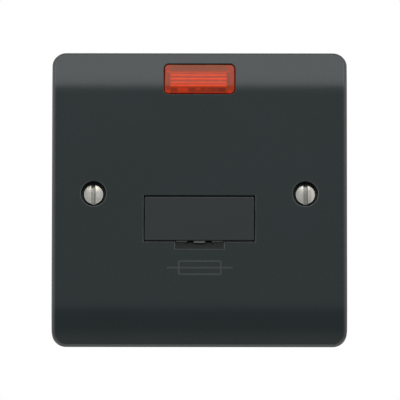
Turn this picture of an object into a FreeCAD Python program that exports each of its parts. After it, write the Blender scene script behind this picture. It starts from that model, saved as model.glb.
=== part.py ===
import FreeCAD, Part
import math
import os
import Sketcher

# One-gang fused spur unit. X runs to the right and Z up as the unit is seen on the wall, Y into the wall.
# The origin lies midway between the two fixing screws, on the wall plane that the plate's rear rim touches.
# All lengths are in millimetres, all angles in degrees.

SIZES = {
    # Front plate
    "plate_width": 84.0,
    "plate_height": 84.0,
    "plate_drop": 0.9,
    "plate_depth": 9.0,
    "face_wall": 2.4,
    "side_wall": 2.2,
    "plate_corner": 4.0,
    "plate_edge": 0.8,
    "opening_edge": 0.2,
    "band_height": 9.4,
    "bend_angle": 20.0,
    "bend_radius": 16.0,
    "stiffener_width": 1.2,
    "stiffener_height": 2.0,
    # Fixings of the plate
    "fixing_spacing": 60.3,
    "recess_radius": 3.6,
    "recess_depth": 4.0,
    "fixing_bore": 2.1,
    "boss_wall": 1.7,
    "boss_setback": 1.2,
    # Fixing screws
    "fixing_head_radius": 2.9,
    "fixing_head_height": 2.3,
    "fixing_head_dome": 0.75,
    "fixing_slot_width": 1.15,
    "fixing_slot_depth": 1.1,
    "fixing_shank": 1.5,
    "fixing_thread": 1.75,
    "fixing_length": 25.0,
    "fixing_bevel": 0.5,
    "thread_start": 0.3,
    # Fuse, 25.4 by 6.3
    "fuse_length": 25.4,
    "fuse_radius": 3.15,
    "cap_length": 6.0,
    "cap_wall": 0.3,
    "cap_round": 0.25,
    "fuse_inset": 7.0,
    "fuse_drop": 7.2,
    "fuse_bore": 1.6,
    # Fuse carrier
    "fuse_end_gap": 0.9,
    "carrier_height": 12.6,
    "carrier_gap": 0.3,
    "carrier_face": 2.4,
    "carrier_edge": 0.25,
    "carrier_travel": 11.0,
    "cheek_wall": 1.7,
    "cheek_height": 11.4,
    "cradle_width": 10.4,
    "cradle_reach": 3.8,
    "cradle_mouth": 5.2,
    "carrier_floor": 0.8,
    "lug_rise": 1.5,
    "lug_height": 5.2,
    "lug_length": 1.6,
    "lug_land": 0.5,
    "running_gap": 0.1,
    # Finger notch under the carrier
    "notch_width": 13.9,
    "notch_height": 2.1,
    "notch_depth": 1.2,
    "notch_throat": 7.0,
    "notch_splay": 0.45,
    "throat_height": 0.75,
    "lip_height": 0.35,
    "lip_setback": 0.6,
    "pull_width": 3.2,
    "pull_height": 0.55,
    # Neon window
    "window_width": 20.4,
    "window_height": 9.1,
    "window_drop": 3.4,
    "window_corner": 1.4,
    "lens_gap": 0.2,
    "lens_back": 3.4,
    "lens_edge": 0.3,
    "lens_skirt": 1.1,
    "lens_skirt_reach": 2.0,
    "lens_lug": 1.2,
    "lens_lug_height": 4.0,
    "rib_pitch": 1.03,
    "rib_width": 0.93,
    "rib_depth": 0.5,
    "rib_zone": 16.0,
    "rib_rise": 2.4,
    # Inner moulding
    "web_front": 2.2,
    "web_thickness": 2.0,
    "well_gap": 0.2,
    "well_wall": 1.3,
    "well_clearance": 0.2,
    "lamp_box_width": 24.0,
    "lamp_box_height": 11.0,
    "lamp_box_drop": 1.4,
    "lamp_box_reach": 5.6,
    "lamp_box_wall": 1.0,
    "lamp_box_floor": 2.8,
    # Lamp, resistor and leads
    "lamp_radius": 2.6,
    "lamp_length": 12.6,
    "lamp_glass": 0.4,
    "lamp_gap": 0.5,
    "seal_radius": 1.8,
    "seal_length": 1.0,
    "seal_thickness": 1.2,
    "nose_length": 2.6,
    "nose_round": 1.5,
    "tip_length": 0.8,
    "tip_radius": 0.6,
    "lamp_rise": 4.4,
    "lamp_offset": 1.5,
    "electrode_radius": 0.35,
    "electrode_length": 7.0,
    "electrode_spacing": 1.6,
    "lead_radius": 0.3,
    "lead_bend": 0.9,
    "resistor_length": 6.6,
    "resistor_radius": 1.2,
    "resistor_waist": 1.03,
    "resistor_collar": 1.5,
    "resistor_neck": 0.45,
    "resistor_end": 0.85,
    "resistor_round": 0.26,
    "resistor_drop": 9.2,
    "lead_column": 5.9,
    "lead_step": 1.0,
    "lead_drop": 4.0,
    "tap_drop": 6.5,
    "load_tap": 3.0,
    # Terminals
    "bar_gap": 0.8,
    "block_width": 8.0,
    "block_length": 8.6,
    "block_floor": 0.6,
    "block_roof": 2.6,
    "block_chamfer": 0.5,
    "tunnel_radius": 2.2,
    "chamber_gap": 0.2,
    # Clamp screws
    "clamp_radius": 1.75,
    "clamp_clearance": 0.05,
    "clamp_travel": 3.4,
    "clamp_head_radius": 2.7,
    "clamp_head_height": 1.6,
    "clamp_slot_width": 0.9,
    "clamp_slot_depth": 0.9,
    "clamp_bevel": 0.45,
    "clamp_head_bevel": 0.35,
    # Brass strips and fuse contacts
    "strip_thickness": 0.8,
    "strip_width": 4.0,
    "strip_gap": 0.1,
    "contact_inset": 3.2,
    "prong_wall": 0.5,
    "prong_gap": 0.05,
    "prong_root": 0.4,
    "prong_flare": 0.9,
    "prong_land": 1.4,
    "prong_reach": 3.3,
    "cross_gap": 0.3,
    # Rear base
    "base_depth": 13.0,
    "base_waist": 4.8,
    "base_wall": 1.6,
    "waist_wall": 2.5,
    "end_wall": 1.4,
    "flank_wall": 0.8,
    "room_gap": 2.3,
    "base_corner": 2.5,
    "base_edge": 0.8,
    "wire_entry": 2.7,
    "entry_lead": 0.6,
    "access_bore": 3.0,
    "collar_radius": 4.2,
    "collar_rise": 0.6,
    "waist_slope": 1.2,
    "waist_rib_width": 1.0,
    "waist_rib_height": 1.2,
    "fin_width": 1.2,
    "fin_rise": 2.2,
    "fin_setback": 1.0,
    # Assembly screws
    "assembly_spacing": 21.2,
    "assembly_radius": 1.2,
    "assembly_pilot": 1.25,
    "assembly_bore": 1.6,
    "assembly_head": 2.7,
    "assembly_head_height": 1.9,
    "assembly_head_bevel": 0.75,
    "assembly_point": 0.35,
    "assembly_taper": 1.2,
    "cross_length": 3.2,
    "cross_width": 0.9,
    "cross_depth": 0.9,
    "assembly_sink_gap": 0.5,
    "assembly_sink": 5.0,
    "assembly_grip": 5.0,
    "post_radius": 3.0,
    "post_gap": 0.7,
}

# How far a cut runs past the face that it opens, and how far a feature runs into the one that carries it
PAST = 1.0
LAP = 0.2
# Coordinates nearer than this are the same
TOUCH = 0.001


class Size:
    """A length with the formula that ties it to the size table."""

    def __init__(self, value, text):
        self.value = value
        self.text = text

    def __add__(self, other):
        other = as_size(other)
        return Size(self.value + other.value, f"({self.text} + {other.text})")

    def __sub__(self, other):
        other = as_size(other)
        return Size(self.value - other.value, f"({self.text} - {other.text})")

    def __mul__(self, other):
        other = as_size(other)
        return Size(self.value * other.value, f"({self.text} * {other.text})")

    def __truediv__(self, other):
        other = as_size(other)
        return Size(self.value / other.value, f"({self.text} / {other.text})")

    def __neg__(self):
        return Size(-self.value, f"(0 - {self.text})")


def as_size(number):
    """A plain number as a Size."""
    return number if isinstance(number, Size) else Size(float(number), str(number))


def tangent(angle):
    """The tangent of an angle of the size table."""
    return Size(math.tan(math.radians(angle.value)), f"tan({angle.text})")


def smaller(first, second):
    """The smaller of two sizes."""
    return Size(min(first.value, second.value), f"min({first.text}; {second.text})")


class Table:
    """Each size of the sheet by its alias."""

    def __getattr__(self, alias):
        return Size(SIZES[alias], f"Sizes.{alias}")


S = Table()
ZERO = as_size(0)


def make_sheet(document):
    """The sheet that holds the driving sizes, one row each."""
    sheet = document.addObject("Spreadsheet::Sheet", "Sizes")
    for row, (alias, value) in enumerate(SIZES.items(), start=1):
        sheet.set(f"A{row}", alias)
        sheet.set(f"B{row}", str(value))
        sheet.setAlias(f"B{row}", alias)
    document.recompute()
    return sheet


# Construction helpers

def new_body(name):
    """An empty body that carries the name of its piece."""
    body = DOC.addObject("PartDesign::Body", name)
    body.Label = name
    return body


def box(low_across, high_across, low_up, high_up):
    """The four corners of a rectangle."""
    return [(low_across, low_up), (high_across, low_up), (high_across, high_up), (low_across, high_up)]


def centred(across, up, width, height):
    """A rectangle of a width and a height about its centre."""
    return box(across - width / 2, across + width / 2, up - height / 2, up + height / 2)


def new_sketch(body, name, plane, level):
    """A sketch on one of the body's own planes, moved along that plane's axis to the level."""
    sketch = body.newObject("Sketcher::SketchObject", name)
    for feature in body.Origin.OriginFeatures:
        if feature.Role == plane:
            sketch.AttachmentSupport = [(feature, "")]
    sketch.MapMode = "FlatFace"
    offset = -as_size(level) if plane == "XZ_Plane" else as_size(level)
    sketch.setExpression("AttachmentOffset.Base.z", offset.text)
    return sketch


def tie(sketch, kind, geometry, point, size):
    """Holds a point's distance from the sketch origin at a size."""
    index = sketch.addConstraint(Sketcher.Constraint(kind, -1, 1, geometry, point, size.value))
    sketch.setExpression(f"Constraints[{index}]", size.text)


def draw_outline(sketch, corners):
    """A closed outline of straight sides, each corner held at its own place."""
    corners = [(as_size(across), as_size(up)) for across, up in corners]
    first = sketch.GeometryCount
    for start, end in zip(corners, corners[1:] + corners[:1]):
        line = Part.LineSegment(
            FreeCAD.Vector(start[0].value, start[1].value, 0), FreeCAD.Vector(end[0].value, end[1].value, 0)
        )
        sketch.addGeometry(line, False)
    for index, (across, up) in enumerate(corners):
        following = first + (index + 1) % len(corners)
        sketch.addConstraint(Sketcher.Constraint("Coincident", first + index, 2, following, 1))
        tie(sketch, "DistanceX", first + index, 1, across)
        tie(sketch, "DistanceY", first + index, 1, up)


def draw_circle(sketch, across, up, radius):
    """A circle held at its centre and radius."""
    across, up, radius = as_size(across), as_size(up), as_size(radius)
    centre = FreeCAD.Vector(across.value, up.value, 0)
    index = sketch.addGeometry(Part.Circle(centre, FreeCAD.Vector(0, 0, 1), radius.value), False)
    tie(sketch, "DistanceX", index, 3, across)
    tie(sketch, "DistanceY", index, 3, up)
    constraint = sketch.addConstraint(Sketcher.Constraint("Radius", index, radius.value))
    sketch.setExpression(f"Constraints[{constraint}]", radius.text)


def fill_sketch(sketch, outlines, circles):
    """Draws every outline and circle of one sketch."""
    for corners in outlines:
        draw_outline(sketch, corners)
    for across, up, radius in circles:
        draw_circle(sketch, across, up, radius)


def add(body, name, plane, low, high, outlines=(), circles=()):
    """Pads outlines and circles from the low to the high level of the plane's axis."""
    low, high = as_size(low), as_size(high)
    sketch = new_sketch(body, f"{name}_sketch", plane, high if plane == "XZ_Plane" else low)
    fill_sketch(sketch, outlines, circles)
    feature = body.newObject("PartDesign::Pad", name)
    feature.Profile = sketch
    feature.setExpression("Length", (high - low).text)
    DOC.recompute()
    return feature


def cut(body, name, plane, low, high, outlines=(), circles=()):
    """Pockets outlines and circles from the low to the high level, and checks that material went."""
    before = body.Shape.Volume
    low, high = as_size(low), as_size(high)
    sketch = new_sketch(body, f"{name}_sketch", plane, low if plane == "XZ_Plane" else high)
    fill_sketch(sketch, outlines, circles)
    feature = body.newObject("PartDesign::Pocket", name)
    feature.Profile = sketch
    feature.setExpression("Length", (high - low).text)
    DOC.recompute()
    if body.Shape.Volume >= before:
        raise RuntimeError(f"{name} removes nothing from {body.Label}")
    return feature


def turn(body, name, plane, level, corners, axis_start, axis_end, kind="Revolution"):
    """Turns an outline once around an axis drawn in the same sketch, as a Revolution or a Groove."""
    sketch = new_sketch(body, f"{name}_sketch", plane, level)
    draw_outline(sketch, corners)
    ends = [(as_size(across), as_size(up)) for across, up in (axis_start, axis_end)]
    points = [FreeCAD.Vector(across.value, up.value, 0) for across, up in ends]
    index = sketch.addGeometry(Part.LineSegment(*points), True)
    for point, (across, up) in enumerate(ends, start=1):
        tie(sketch, "DistanceX", index, point, across)
        tie(sketch, "DistanceY", index, point, up)
    feature = body.newObject(f"PartDesign::{kind}", name)
    feature.Profile = sketch
    feature.ReferenceAxis = (sketch, ["Axis0"])
    feature.Angle = 360.0
    DOC.recompute()
    return feature


def middle(edge):
    """The point halfway along an edge."""
    return edge.valueAt((edge.FirstParameter + edge.LastParameter) / 2)


def same(first, second):
    """Whether two coordinates agree."""
    return abs(first - second) < TOUCH


def inside(edge, level, left, right, low, high):
    """Whether an edge lies in the plane Y = level, within an upright rectangle."""
    points = [vertex.Point for vertex in edge.Vertexes]
    flat = same(middle(edge).y, level) and all(same(point.y, level) for point in points)
    across = all(left - TOUCH < point.x < right + TOUCH for point in points)
    return flat and across and all(low - TOUCH < point.z < high + TOUCH for point in points)


def along(edge, axis):
    """Whether an edge is straight and runs along X, Y or Z, given as 0, 1 or 2."""
    ends = [vertex.Point for vertex in edge.Vertexes]
    return len(ends) == 2 and same(edge.Length, abs(ends[1][axis] - ends[0][axis]))


def ring(edge, axis, level):
    """Whether an edge is a circle, or part of one, that lies at a level of X, Y or Z."""
    return isinstance(edge.Curve, Part.Circle) and all(same(v.Point[axis], level) for v in edge.Vertexes)


def rim(rear, low, high):
    """A test for the edges round a front that follows the plate: all before the rear but the bend lines."""
    def on_rim(edge):
        if max(vertex.Point.y for vertex in edge.Vertexes) > rear.value - TOUCH:
            return False
        height = middle(edge).z
        return not along(edge, 0) or same(height, low.value) or same(height, high.value)

    return on_rim


def dress(body, name, kind, size, test):
    """Rounds or chamfers the edges of the body that the test picks."""
    picked = [f"Edge{index}" for index, edge in enumerate(body.Shape.Edges, start=1) if test(edge)]
    if not picked:
        raise RuntimeError(f"{name} finds no edge on {body.Label}")
    carrier = body.Tip
    feature = body.newObject(f"PartDesign::{kind}", name)
    feature.Base = (carrier, picked)
    feature.setExpression("Radius" if kind == "Fillet" else "Size", as_size(size).text)
    DOC.recompute()
    return feature


def repeat(body, name, features, axis_plane, pitch, count):
    """Repeats features in a row along the normal of one of the body's planes."""
    pattern = body.newObject("PartDesign::LinearPattern", name)
    pattern.Originals = features
    for feature in body.Origin.OriginFeatures:
        if feature.Role == axis_plane:
            pattern.Direction = (feature, [""])
    pattern.Mode = "Spacing"
    pattern.setExpression("Offset", pitch.text)
    pattern.Occurrences = count
    body.Tip = pattern
    DOC.recompute()
    return pattern


# Places shared by several pieces

PLATE_FRONT = -S.plate_depth
PLATE_INNER = PLATE_FRONT + S.face_wall
PLATE_MIDDLE = -S.plate_drop
STIFFENER_REAR = PLATE_INNER + S.stiffener_height
WAIST_RIBS = 6
PLATE_TOP = PLATE_MIDDLE + S.plate_height / 2
BEND_HEIGHT = S.plate_height / 2 - S.band_height
WINDOW_HIGH = PLATE_TOP - S.window_drop
WINDOW_LOW = WINDOW_HIGH - S.window_height
FUSE_Y = PLATE_FRONT + S.fuse_inset
FUSE_Z = -S.fuse_drop
CHEEK_OUTER = S.fuse_length / 2 + S.fuse_end_gap + S.cheek_wall
CARRIER_WIDTH = (CHEEK_OUTER + S.carrier_gap) * 2
APERTURE_WIDTH = CARRIER_WIDTH + S.carrier_gap * 2
APERTURE_HEIGHT = S.carrier_height + S.carrier_gap * 2
APERTURE_FOOT = FUSE_Z - APERTURE_HEIGHT / 2
APERTURE_TOP = FUSE_Z + APERTURE_HEIGHT / 2
CARRIER_FOOT = FUSE_Z - S.carrier_height / 2
CONTACT_OFFSET = S.fuse_length / 2 - S.contact_inset
LUG_FRONT = PLATE_INNER + S.carrier_travel
CARRIER_REAR = LUG_FRONT + S.lug_length
WEB_REAR = S.web_front + S.web_thickness
STRIP_FRONT = WEB_REAR + S.strip_gap
STRIP_REAR = STRIP_FRONT + S.strip_thickness
BLOCK_FRONT = STRIP_REAR + S.strip_gap
TUNNEL_Y = BLOCK_FRONT + S.block_floor + S.tunnel_radius
TUNNEL_ROOF = TUNNEL_Y + S.tunnel_radius
BLOCK_REAR = TUNNEL_ROOF + S.block_roof
BASE_FRONT = WEB_REAR
BASE_REAR = BASE_FRONT + S.base_depth
BASE_WAIST_REAR = BASE_REAR - S.base_waist
CHAMBER_REAR = BLOCK_REAR + S.chamber_gap
ASSEMBLY_SEAT = BASE_REAR - S.assembly_sink
LENS_BACK = PLATE_FRONT + S.lens_back
ROOM_RISE = S.fuse_drop + S.cheek_height / 2 + S.room_gap
WAIST_RISE = ROOM_RISE + S.base_wall
CROSS_HEIGHT = ROOM_RISE - S.cross_gap - S.strip_width / 2
TERMINAL_SPACING = CHEEK_OUTER + S.lug_rise + S.bar_gap + S.strip_width / 2
TERMINAL_HEIGHT = WAIST_RISE + S.waist_wall + S.chamber_gap + S.block_length / 2
BAR_REACH = TERMINAL_HEIGHT + S.block_length / 2
INNER_HEIGHT = (BAR_REACH + S.chamber_gap + S.end_wall) * 2
INNER_WIDTH = (TERMINAL_SPACING + S.block_width / 2 + S.chamber_gap + S.flank_wall) * 2
LAMP_BOX_LOW = WINDOW_LOW - S.lamp_box_drop
LAMP_BOX_HIGH = LAMP_BOX_LOW + S.lamp_box_height
LAMP_BOX_FLOOR = WEB_REAR - S.lamp_box_floor
LAMP_Y = LAMP_BOX_FLOOR - S.lamp_gap - S.lamp_radius
LAMP_Z = WINDOW_LOW + S.lamp_rise
LAMP_FOOT = -S.lamp_length / 2 + S.lamp_offset
RESISTOR_Y = S.web_front - S.running_gap - S.resistor_radius
RESISTOR_Z = LAMP_BOX_LOW - S.resistor_drop

FIXINGS = [(-S.fixing_spacing / 2), (S.fixing_spacing / 2)]
SIDES = (as_size(-1), as_size(1))
POST_TOP = smaller(TERMINAL_HEIGHT, LAMP_BOX_LOW - S.post_gap - S.post_radius)
ASSEMBLY_LEVELS = (-TERMINAL_HEIGHT, POST_TOP)
NEUTRAL_TAP = POST_TOP - S.post_radius - S.tap_drop
ASSEMBLY_PLACES = [(S.assembly_spacing / 2 * side, level) for side in SIDES for level in ASSEMBLY_LEVELS]
TERMINALS = {
    "neutral_in": (-TERMINAL_SPACING, 1),
    "live_in": (ZERO, 1),
    "earth_in": (TERMINAL_SPACING, 1),
    "neutral_out": (-TERMINAL_SPACING, -1),
    "live_out": (ZERO, -1),
    "earth_out": (TERMINAL_SPACING, -1),
}


def plate_section(inset_front, inset_side, rear):
    """The side view of the plate: flat middle, a sloped band above and below, and upright ends."""
    half = S.plate_height / 2 - inset_side
    front = PLATE_FRONT + inset_front
    bend = BEND_HEIGHT - inset_front * tangent(S.bend_angle / 2)
    end_depth = front + (half - bend) * tangent(S.bend_angle)
    return [
        (rear, PLATE_MIDDLE - half),
        (end_depth, PLATE_MIDDLE - half),
        (front, PLATE_MIDDLE - bend),
        (front, PLATE_MIDDLE + bend),
        (end_depth, PLATE_MIDDLE + half),
        (rear, PLATE_MIDDLE + half),
    ]


def add_stiffeners(body):
    """Ribs behind the plate: through each fixing boss, above the aperture and along the lower bend."""
    front = PLATE_INNER - LAP
    bend = BEND_HEIGHT - (S.face_wall - LAP) * tangent(S.bend_angle / 2)
    reach = bend + (STIFFENER_REAR - front) / tangent(S.bend_angle)
    upright = [
        (STIFFENER_REAR, PLATE_MIDDLE - reach),
        (front, PLATE_MIDDLE - bend),
        (front, PLATE_MIDDLE + bend),
        (STIFFENER_REAR, PLATE_MIDDLE + reach),
    ]
    half = S.stiffener_width / 2
    for name, place in zip(("left", "right"), FIXINGS):
        add(body, f"{name}_stiffener", "YZ_Plane", place - half, place + half, [upright])
    span = S.plate_width - S.side_wall
    for name, level in (("upper", (APERTURE_TOP + POST_TOP) / 2), ("lower", PLATE_MIDDLE - BEND_HEIGHT)):
        rib = centred(ZERO, level, span, S.stiffener_width)
        add(body, f"{name}_stiffener", "XZ_Plane", front, STIFFENER_REAR, [rib])


def make_front_plate():
    """The moulded plate, hollow behind, with its window, aperture, notch, screw recesses and posts."""
    body = new_body("front_plate")
    half_width = S.plate_width / 2
    half_height = S.plate_height / 2
    outer = plate_section(ZERO, ZERO, ZERO)
    add(body, "plate_slab", "YZ_Plane", -half_width, half_width, [outer])
    front = PLATE_FRONT.value
    dress(body, "plate_bends", "Fillet", S.bend_radius, lambda e: along(e, 0) and same(middle(e).y, front))
    dress(body, "plate_corners", "Fillet", S.plate_corner, lambda e: along(e, 1))
    on_rim = rim(ZERO, PLATE_MIDDLE - half_height, PLATE_MIDDLE + half_height)
    dress(body, "plate_rim", "Fillet", S.plate_edge, on_rim)
    inner = plate_section(S.face_wall, S.side_wall, ZERO)
    inner_half = half_width - S.side_wall
    cut(body, "plate_hollow", "YZ_Plane", -inner_half, inner_half, [inner])
    inner_front = PLATE_INNER.value
    dress(
        body, "hollow_bends", "Fillet", S.bend_radius - S.face_wall,
        lambda e: along(e, 0) and same(middle(e).y, inner_front),
    )
    boss = S.recess_radius + S.boss_wall
    add(
        body, "fixing_bosses", "XZ_Plane", PLATE_INNER - LAP, -S.boss_setback,
        circles=[(place, ZERO, boss) for place in FIXINGS],
    )
    add(
        body, "assembly_posts", "XZ_Plane", PLATE_INNER - LAP, S.web_front,
        circles=[(across, up, S.post_radius) for across, up in ASSEMBLY_PLACES],
    )
    add_stiffeners(body)
    seat = PLATE_FRONT + S.recess_depth
    cut(
        body, "fixing_recesses", "XZ_Plane", PLATE_FRONT - PAST, seat,
        circles=[(place, ZERO, S.recess_radius) for place in FIXINGS],
    )
    cut(
        body, "fixing_bores", "XZ_Plane", seat - LAP, ZERO,
        circles=[(place, ZERO, S.fixing_bore) for place in FIXINGS],
    )
    cut(
        body, "post_pilots", "XZ_Plane", S.web_front - S.assembly_grip - PAST, S.web_front + PAST,
        circles=[(across, up, S.assembly_pilot) for across, up in ASSEMBLY_PLACES],
    )
    aperture = centred(ZERO, FUSE_Z, APERTURE_WIDTH, APERTURE_HEIGHT)
    cut(body, "carrier_aperture", "XZ_Plane", PLATE_FRONT - PAST, ZERO, [aperture])
    notch_foot = APERTURE_FOOT - S.notch_height
    notch_floor = PLATE_FRONT + S.notch_depth
    notch = [
        (PLATE_FRONT - PAST, APERTURE_FOOT + PAST),
        (PLATE_FRONT - PAST, notch_foot),
        (notch_floor, notch_foot),
        (notch_floor, APERTURE_FOOT + PAST),
    ]
    cut(body, "finger_notch", "YZ_Plane", -S.notch_width / 2, S.notch_width / 2, [notch])
    throat = S.notch_throat / 2
    throat_outline = [
        (-throat, APERTURE_FOOT + PAST),
        (-throat, APERTURE_FOOT),
        (-throat - S.notch_splay, APERTURE_FOOT - S.throat_height),
        (throat + S.notch_splay, APERTURE_FOOT - S.throat_height),
        (throat, APERTURE_FOOT),
        (throat, APERTURE_FOOT + PAST),
    ]
    cut(body, "notch_throat", "XZ_Plane", PLATE_FRONT - PAST, ZERO, [throat_outline])
    window = box(-S.window_width / 2, S.window_width / 2, WINDOW_LOW, WINDOW_HIGH)
    cut(body, "neon_window", "XZ_Plane", PLATE_FRONT - PAST, ZERO, [window])
    half_window, low = S.window_width.value / 2, WINDOW_LOW.value - TOUCH
    dress(
        body, "window_corners", "Fillet", S.window_corner,
        lambda e: along(e, 1) and same(abs(middle(e).x), half_window) and middle(e).z > low,
    )
    dress(body, "recess_edges", "Fillet", S.opening_edge, lambda e: ring(e, 1, front))
    reach, foot, top = APERTURE_WIDTH.value / 2, notch_foot.value, APERTURE_TOP.value
    dress(
        body, "aperture_edges", "Chamfer", S.opening_edge,
        lambda e: inside(e, front, -reach, reach, foot, top),
    )
    return body


def make_neon_lens():
    """The lens: follows the bend of the plate in front, and has a row of prisms and two catches behind."""
    body = new_body("neon_lens")
    half = S.window_width / 2 - S.lens_gap
    low, high = WINDOW_LOW + S.lens_gap, WINDOW_HIGH - S.lens_gap
    slope = tangent(S.bend_angle)
    bend = PLATE_MIDDLE + BEND_HEIGHT
    section = [
        (LENS_BACK, low),
        (PLATE_FRONT, low),
        (PLATE_FRONT, bend),
        (PLATE_FRONT + (high - bend) * slope, high),
        (LENS_BACK, high),
    ]
    add(body, "lens_slab", "YZ_Plane", -half, half, [section])
    front = PLATE_FRONT.value
    height = bend.value
    widest = (bend - low - S.lens_edge * 2) / tangent(S.bend_angle / 2)
    dress(
        body, "lens_bend", "Fillet", smaller(S.bend_radius, widest),
        lambda e: along(e, 0) and same(middle(e).y, front) and same(middle(e).z, height),
    )
    corner = S.window_corner - S.lens_gap
    dress(body, "lens_corners", "Fillet", corner, lambda e: along(e, 1))
    dress(body, "lens_rim", "Fillet", S.lens_edge, rim(LENS_BACK, low, high))
    skirt_rear = LENS_BACK + S.lens_skirt_reach
    skirt_low, skirt_high = low + corner, high - corner
    skirts = [
        box(-half, -half + S.lens_skirt, skirt_low, skirt_high),
        box(half - S.lens_skirt, half, skirt_low, skirt_high),
    ]
    add(body, "lens_skirts", "XZ_Plane", LENS_BACK, skirt_rear, skirts)
    lug_middle = (WINDOW_LOW + WINDOW_HIGH) / 2
    lug_low, lug_high = lug_middle - S.lens_lug_height / 2, lug_middle + S.lens_lug_height / 2
    lug_reach = half + S.lens_lug
    lugs = [
        [(side * half, skirt_rear - S.lens_lug), (side * lug_reach, skirt_rear - S.lens_lug / 2),
         (side * lug_reach, skirt_rear), (side * half, skirt_rear)]
        for side in SIDES
    ]
    add(body, "lens_lugs", "XY_Plane", lug_low, lug_high, lugs)
    first, half_rib = WINDOW_LOW + S.rib_rise, S.rib_width / 2
    prism = [
        (LENS_BACK + PAST, first - half_rib),
        (LENS_BACK, first - half_rib),
        (LENS_BACK - S.rib_depth, first),
        (LENS_BACK, first + half_rib),
        (LENS_BACK + PAST, first + half_rib),
    ]
    groove = cut(body, "prism_groove", "YZ_Plane", -S.rib_zone / 2, S.rib_zone / 2, [prism])
    repeat(body, "prism_row", [groove], "Z_Axis", S.rib_pitch, 5)
    return body


def make_fuse_carrier():
    """The drawer: face with a pull lip, two cheeks with stop lugs, a floor and a snap cradle for the fuse."""
    body = new_body("fuse_carrier")
    face_rear = PLATE_FRONT + S.carrier_face
    add(
        body, "carrier_face", "XZ_Plane", PLATE_FRONT, face_rear,
        [centred(ZERO, FUSE_Z, CARRIER_WIDTH, S.carrier_height)],
    )
    dress(body, "face_corners", "Fillet", S.carrier_gap, lambda e: along(e, 1))
    front = PLATE_FRONT.value
    dress(
        body, "face_rim", "Fillet", S.carrier_edge,
        lambda e: all(same(vertex.Point.y, front) for vertex in e.Vertexes),
    )
    lip_end = S.notch_width / 2 - S.carrier_gap
    throat = S.notch_throat / 2
    pull = S.pull_width / 2
    lips = [
        box(-lip_end, -throat, CARRIER_FOOT - S.lip_height, CARRIER_FOOT + LAP),
        box(throat, lip_end, CARRIER_FOOT - S.lip_height, CARRIER_FOOT + LAP),
        box(-pull, pull, CARRIER_FOOT - S.pull_height, CARRIER_FOOT + LAP),
    ]
    lip_rear = PLATE_FRONT + S.notch_depth - S.running_gap
    add(body, "pull_lips", "XZ_Plane", PLATE_FRONT + S.lip_setback, lip_rear, lips)
    half_cheek = S.cheek_height / 2
    cheeks = [
        box(-CHEEK_OUTER, -CHEEK_OUTER + S.cheek_wall, FUSE_Z - half_cheek, FUSE_Z + half_cheek),
        box(CHEEK_OUTER - S.cheek_wall, CHEEK_OUTER, FUSE_Z - half_cheek, FUSE_Z + half_cheek),
    ]
    add(body, "cheeks", "XZ_Plane", face_rear - LAP, CARRIER_REAR, cheeks)
    cradle_rear = FUSE_Y + S.cradle_reach
    floor = box(-CHEEK_OUTER, CHEEK_OUTER, FUSE_Z - half_cheek, FUSE_Z - half_cheek + S.carrier_floor)
    add(body, "carrier_floor", "XZ_Plane", face_rear - LAP, cradle_rear, [floor])
    cradle = centred(ZERO, FUSE_Z, S.cradle_width, S.cheek_height)
    add(body, "cradle", "XZ_Plane", face_rear - LAP, cradle_rear, [cradle])
    seat_radius = S.fuse_radius - S.cap_wall + S.running_gap
    reach = S.cradle_width / 2 + PAST
    cut(body, "cradle_seat", "YZ_Plane", -reach, reach, circles=[(FUSE_Y, FUSE_Z, seat_radius)])
    half_mouth = S.cradle_mouth / 2
    mouth = box(FUSE_Y - half_mouth, FUSE_Y + half_mouth, FUSE_Z, FUSE_Z + half_cheek + PAST)
    cut(body, "cradle_mouth", "YZ_Plane", -reach, reach, [mouth])
    lugs = [
        [(side * CHEEK_OUTER, LUG_FRONT), (side * (CHEEK_OUTER + S.lug_rise), LUG_FRONT),
         (side * (CHEEK_OUTER + S.lug_rise), LUG_FRONT + S.lug_land), (side * CHEEK_OUTER, CARRIER_REAR)]
        for side in SIDES
    ]
    add(body, "stop_lugs", "XY_Plane", FUSE_Z - S.lug_height / 2, FUSE_Z + S.lug_height / 2, lugs)
    return body


def make_fuse_tube():
    """The ceramic tube of the cartridge fuse, filled except for the fine bore along it."""
    body = new_body("fuse_tube")
    half = S.fuse_length / 2 - S.cap_wall
    tube = S.fuse_radius - S.cap_wall
    section = [(FUSE_Y, FUSE_Z, tube), (FUSE_Y, FUSE_Z, S.fuse_bore)]
    add(body, "tube", "YZ_Plane", -half, half, circles=section)
    return body


def make_fuse_cap(name, side):
    """A pressed end cap with a rolled shoulder."""
    body = new_body(name)
    end = S.fuse_length / 2
    mouth = end - S.cap_length
    low, high = (mouth, end) if side > 0 else (-end, -mouth)
    add(body, "cap", "YZ_Plane", low, high, circles=[(FUSE_Y, FUSE_Z, S.fuse_radius)])
    inner_low, inner_high = (mouth, end - S.cap_wall) if side > 0 else (-end + S.cap_wall, -mouth)
    cut(
        body, "cap_bore", "YZ_Plane", inner_low, inner_high,
        circles=[(FUSE_Y, FUSE_Z, S.fuse_radius - S.cap_wall)],
    )
    far = end.value * side
    dress(body, "cap_shoulder", "Fillet", S.cap_round, lambda e: ring(e, 0, far))
    return body


def prong(side, level):
    """The side view of one spring arm: straight root, flat land beside the cap and a flared lip."""
    inner = S.fuse_radius + S.prong_gap
    root = inner + S.prong_root
    lip = inner + S.prong_flare
    back, front = FUSE_Y + S.prong_land, FUSE_Y - S.prong_land
    tip = FUSE_Y - S.prong_reach
    wall = S.prong_wall
    points = [
        (STRIP_REAR, root), (back, inner), (front, inner), (tip, lip),
        (tip, lip + wall), (front, inner + wall), (back, inner + wall), (STRIP_REAR, root + wall),
    ]
    return [(across, FUSE_Z + up * level) for across, up in points]


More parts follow.
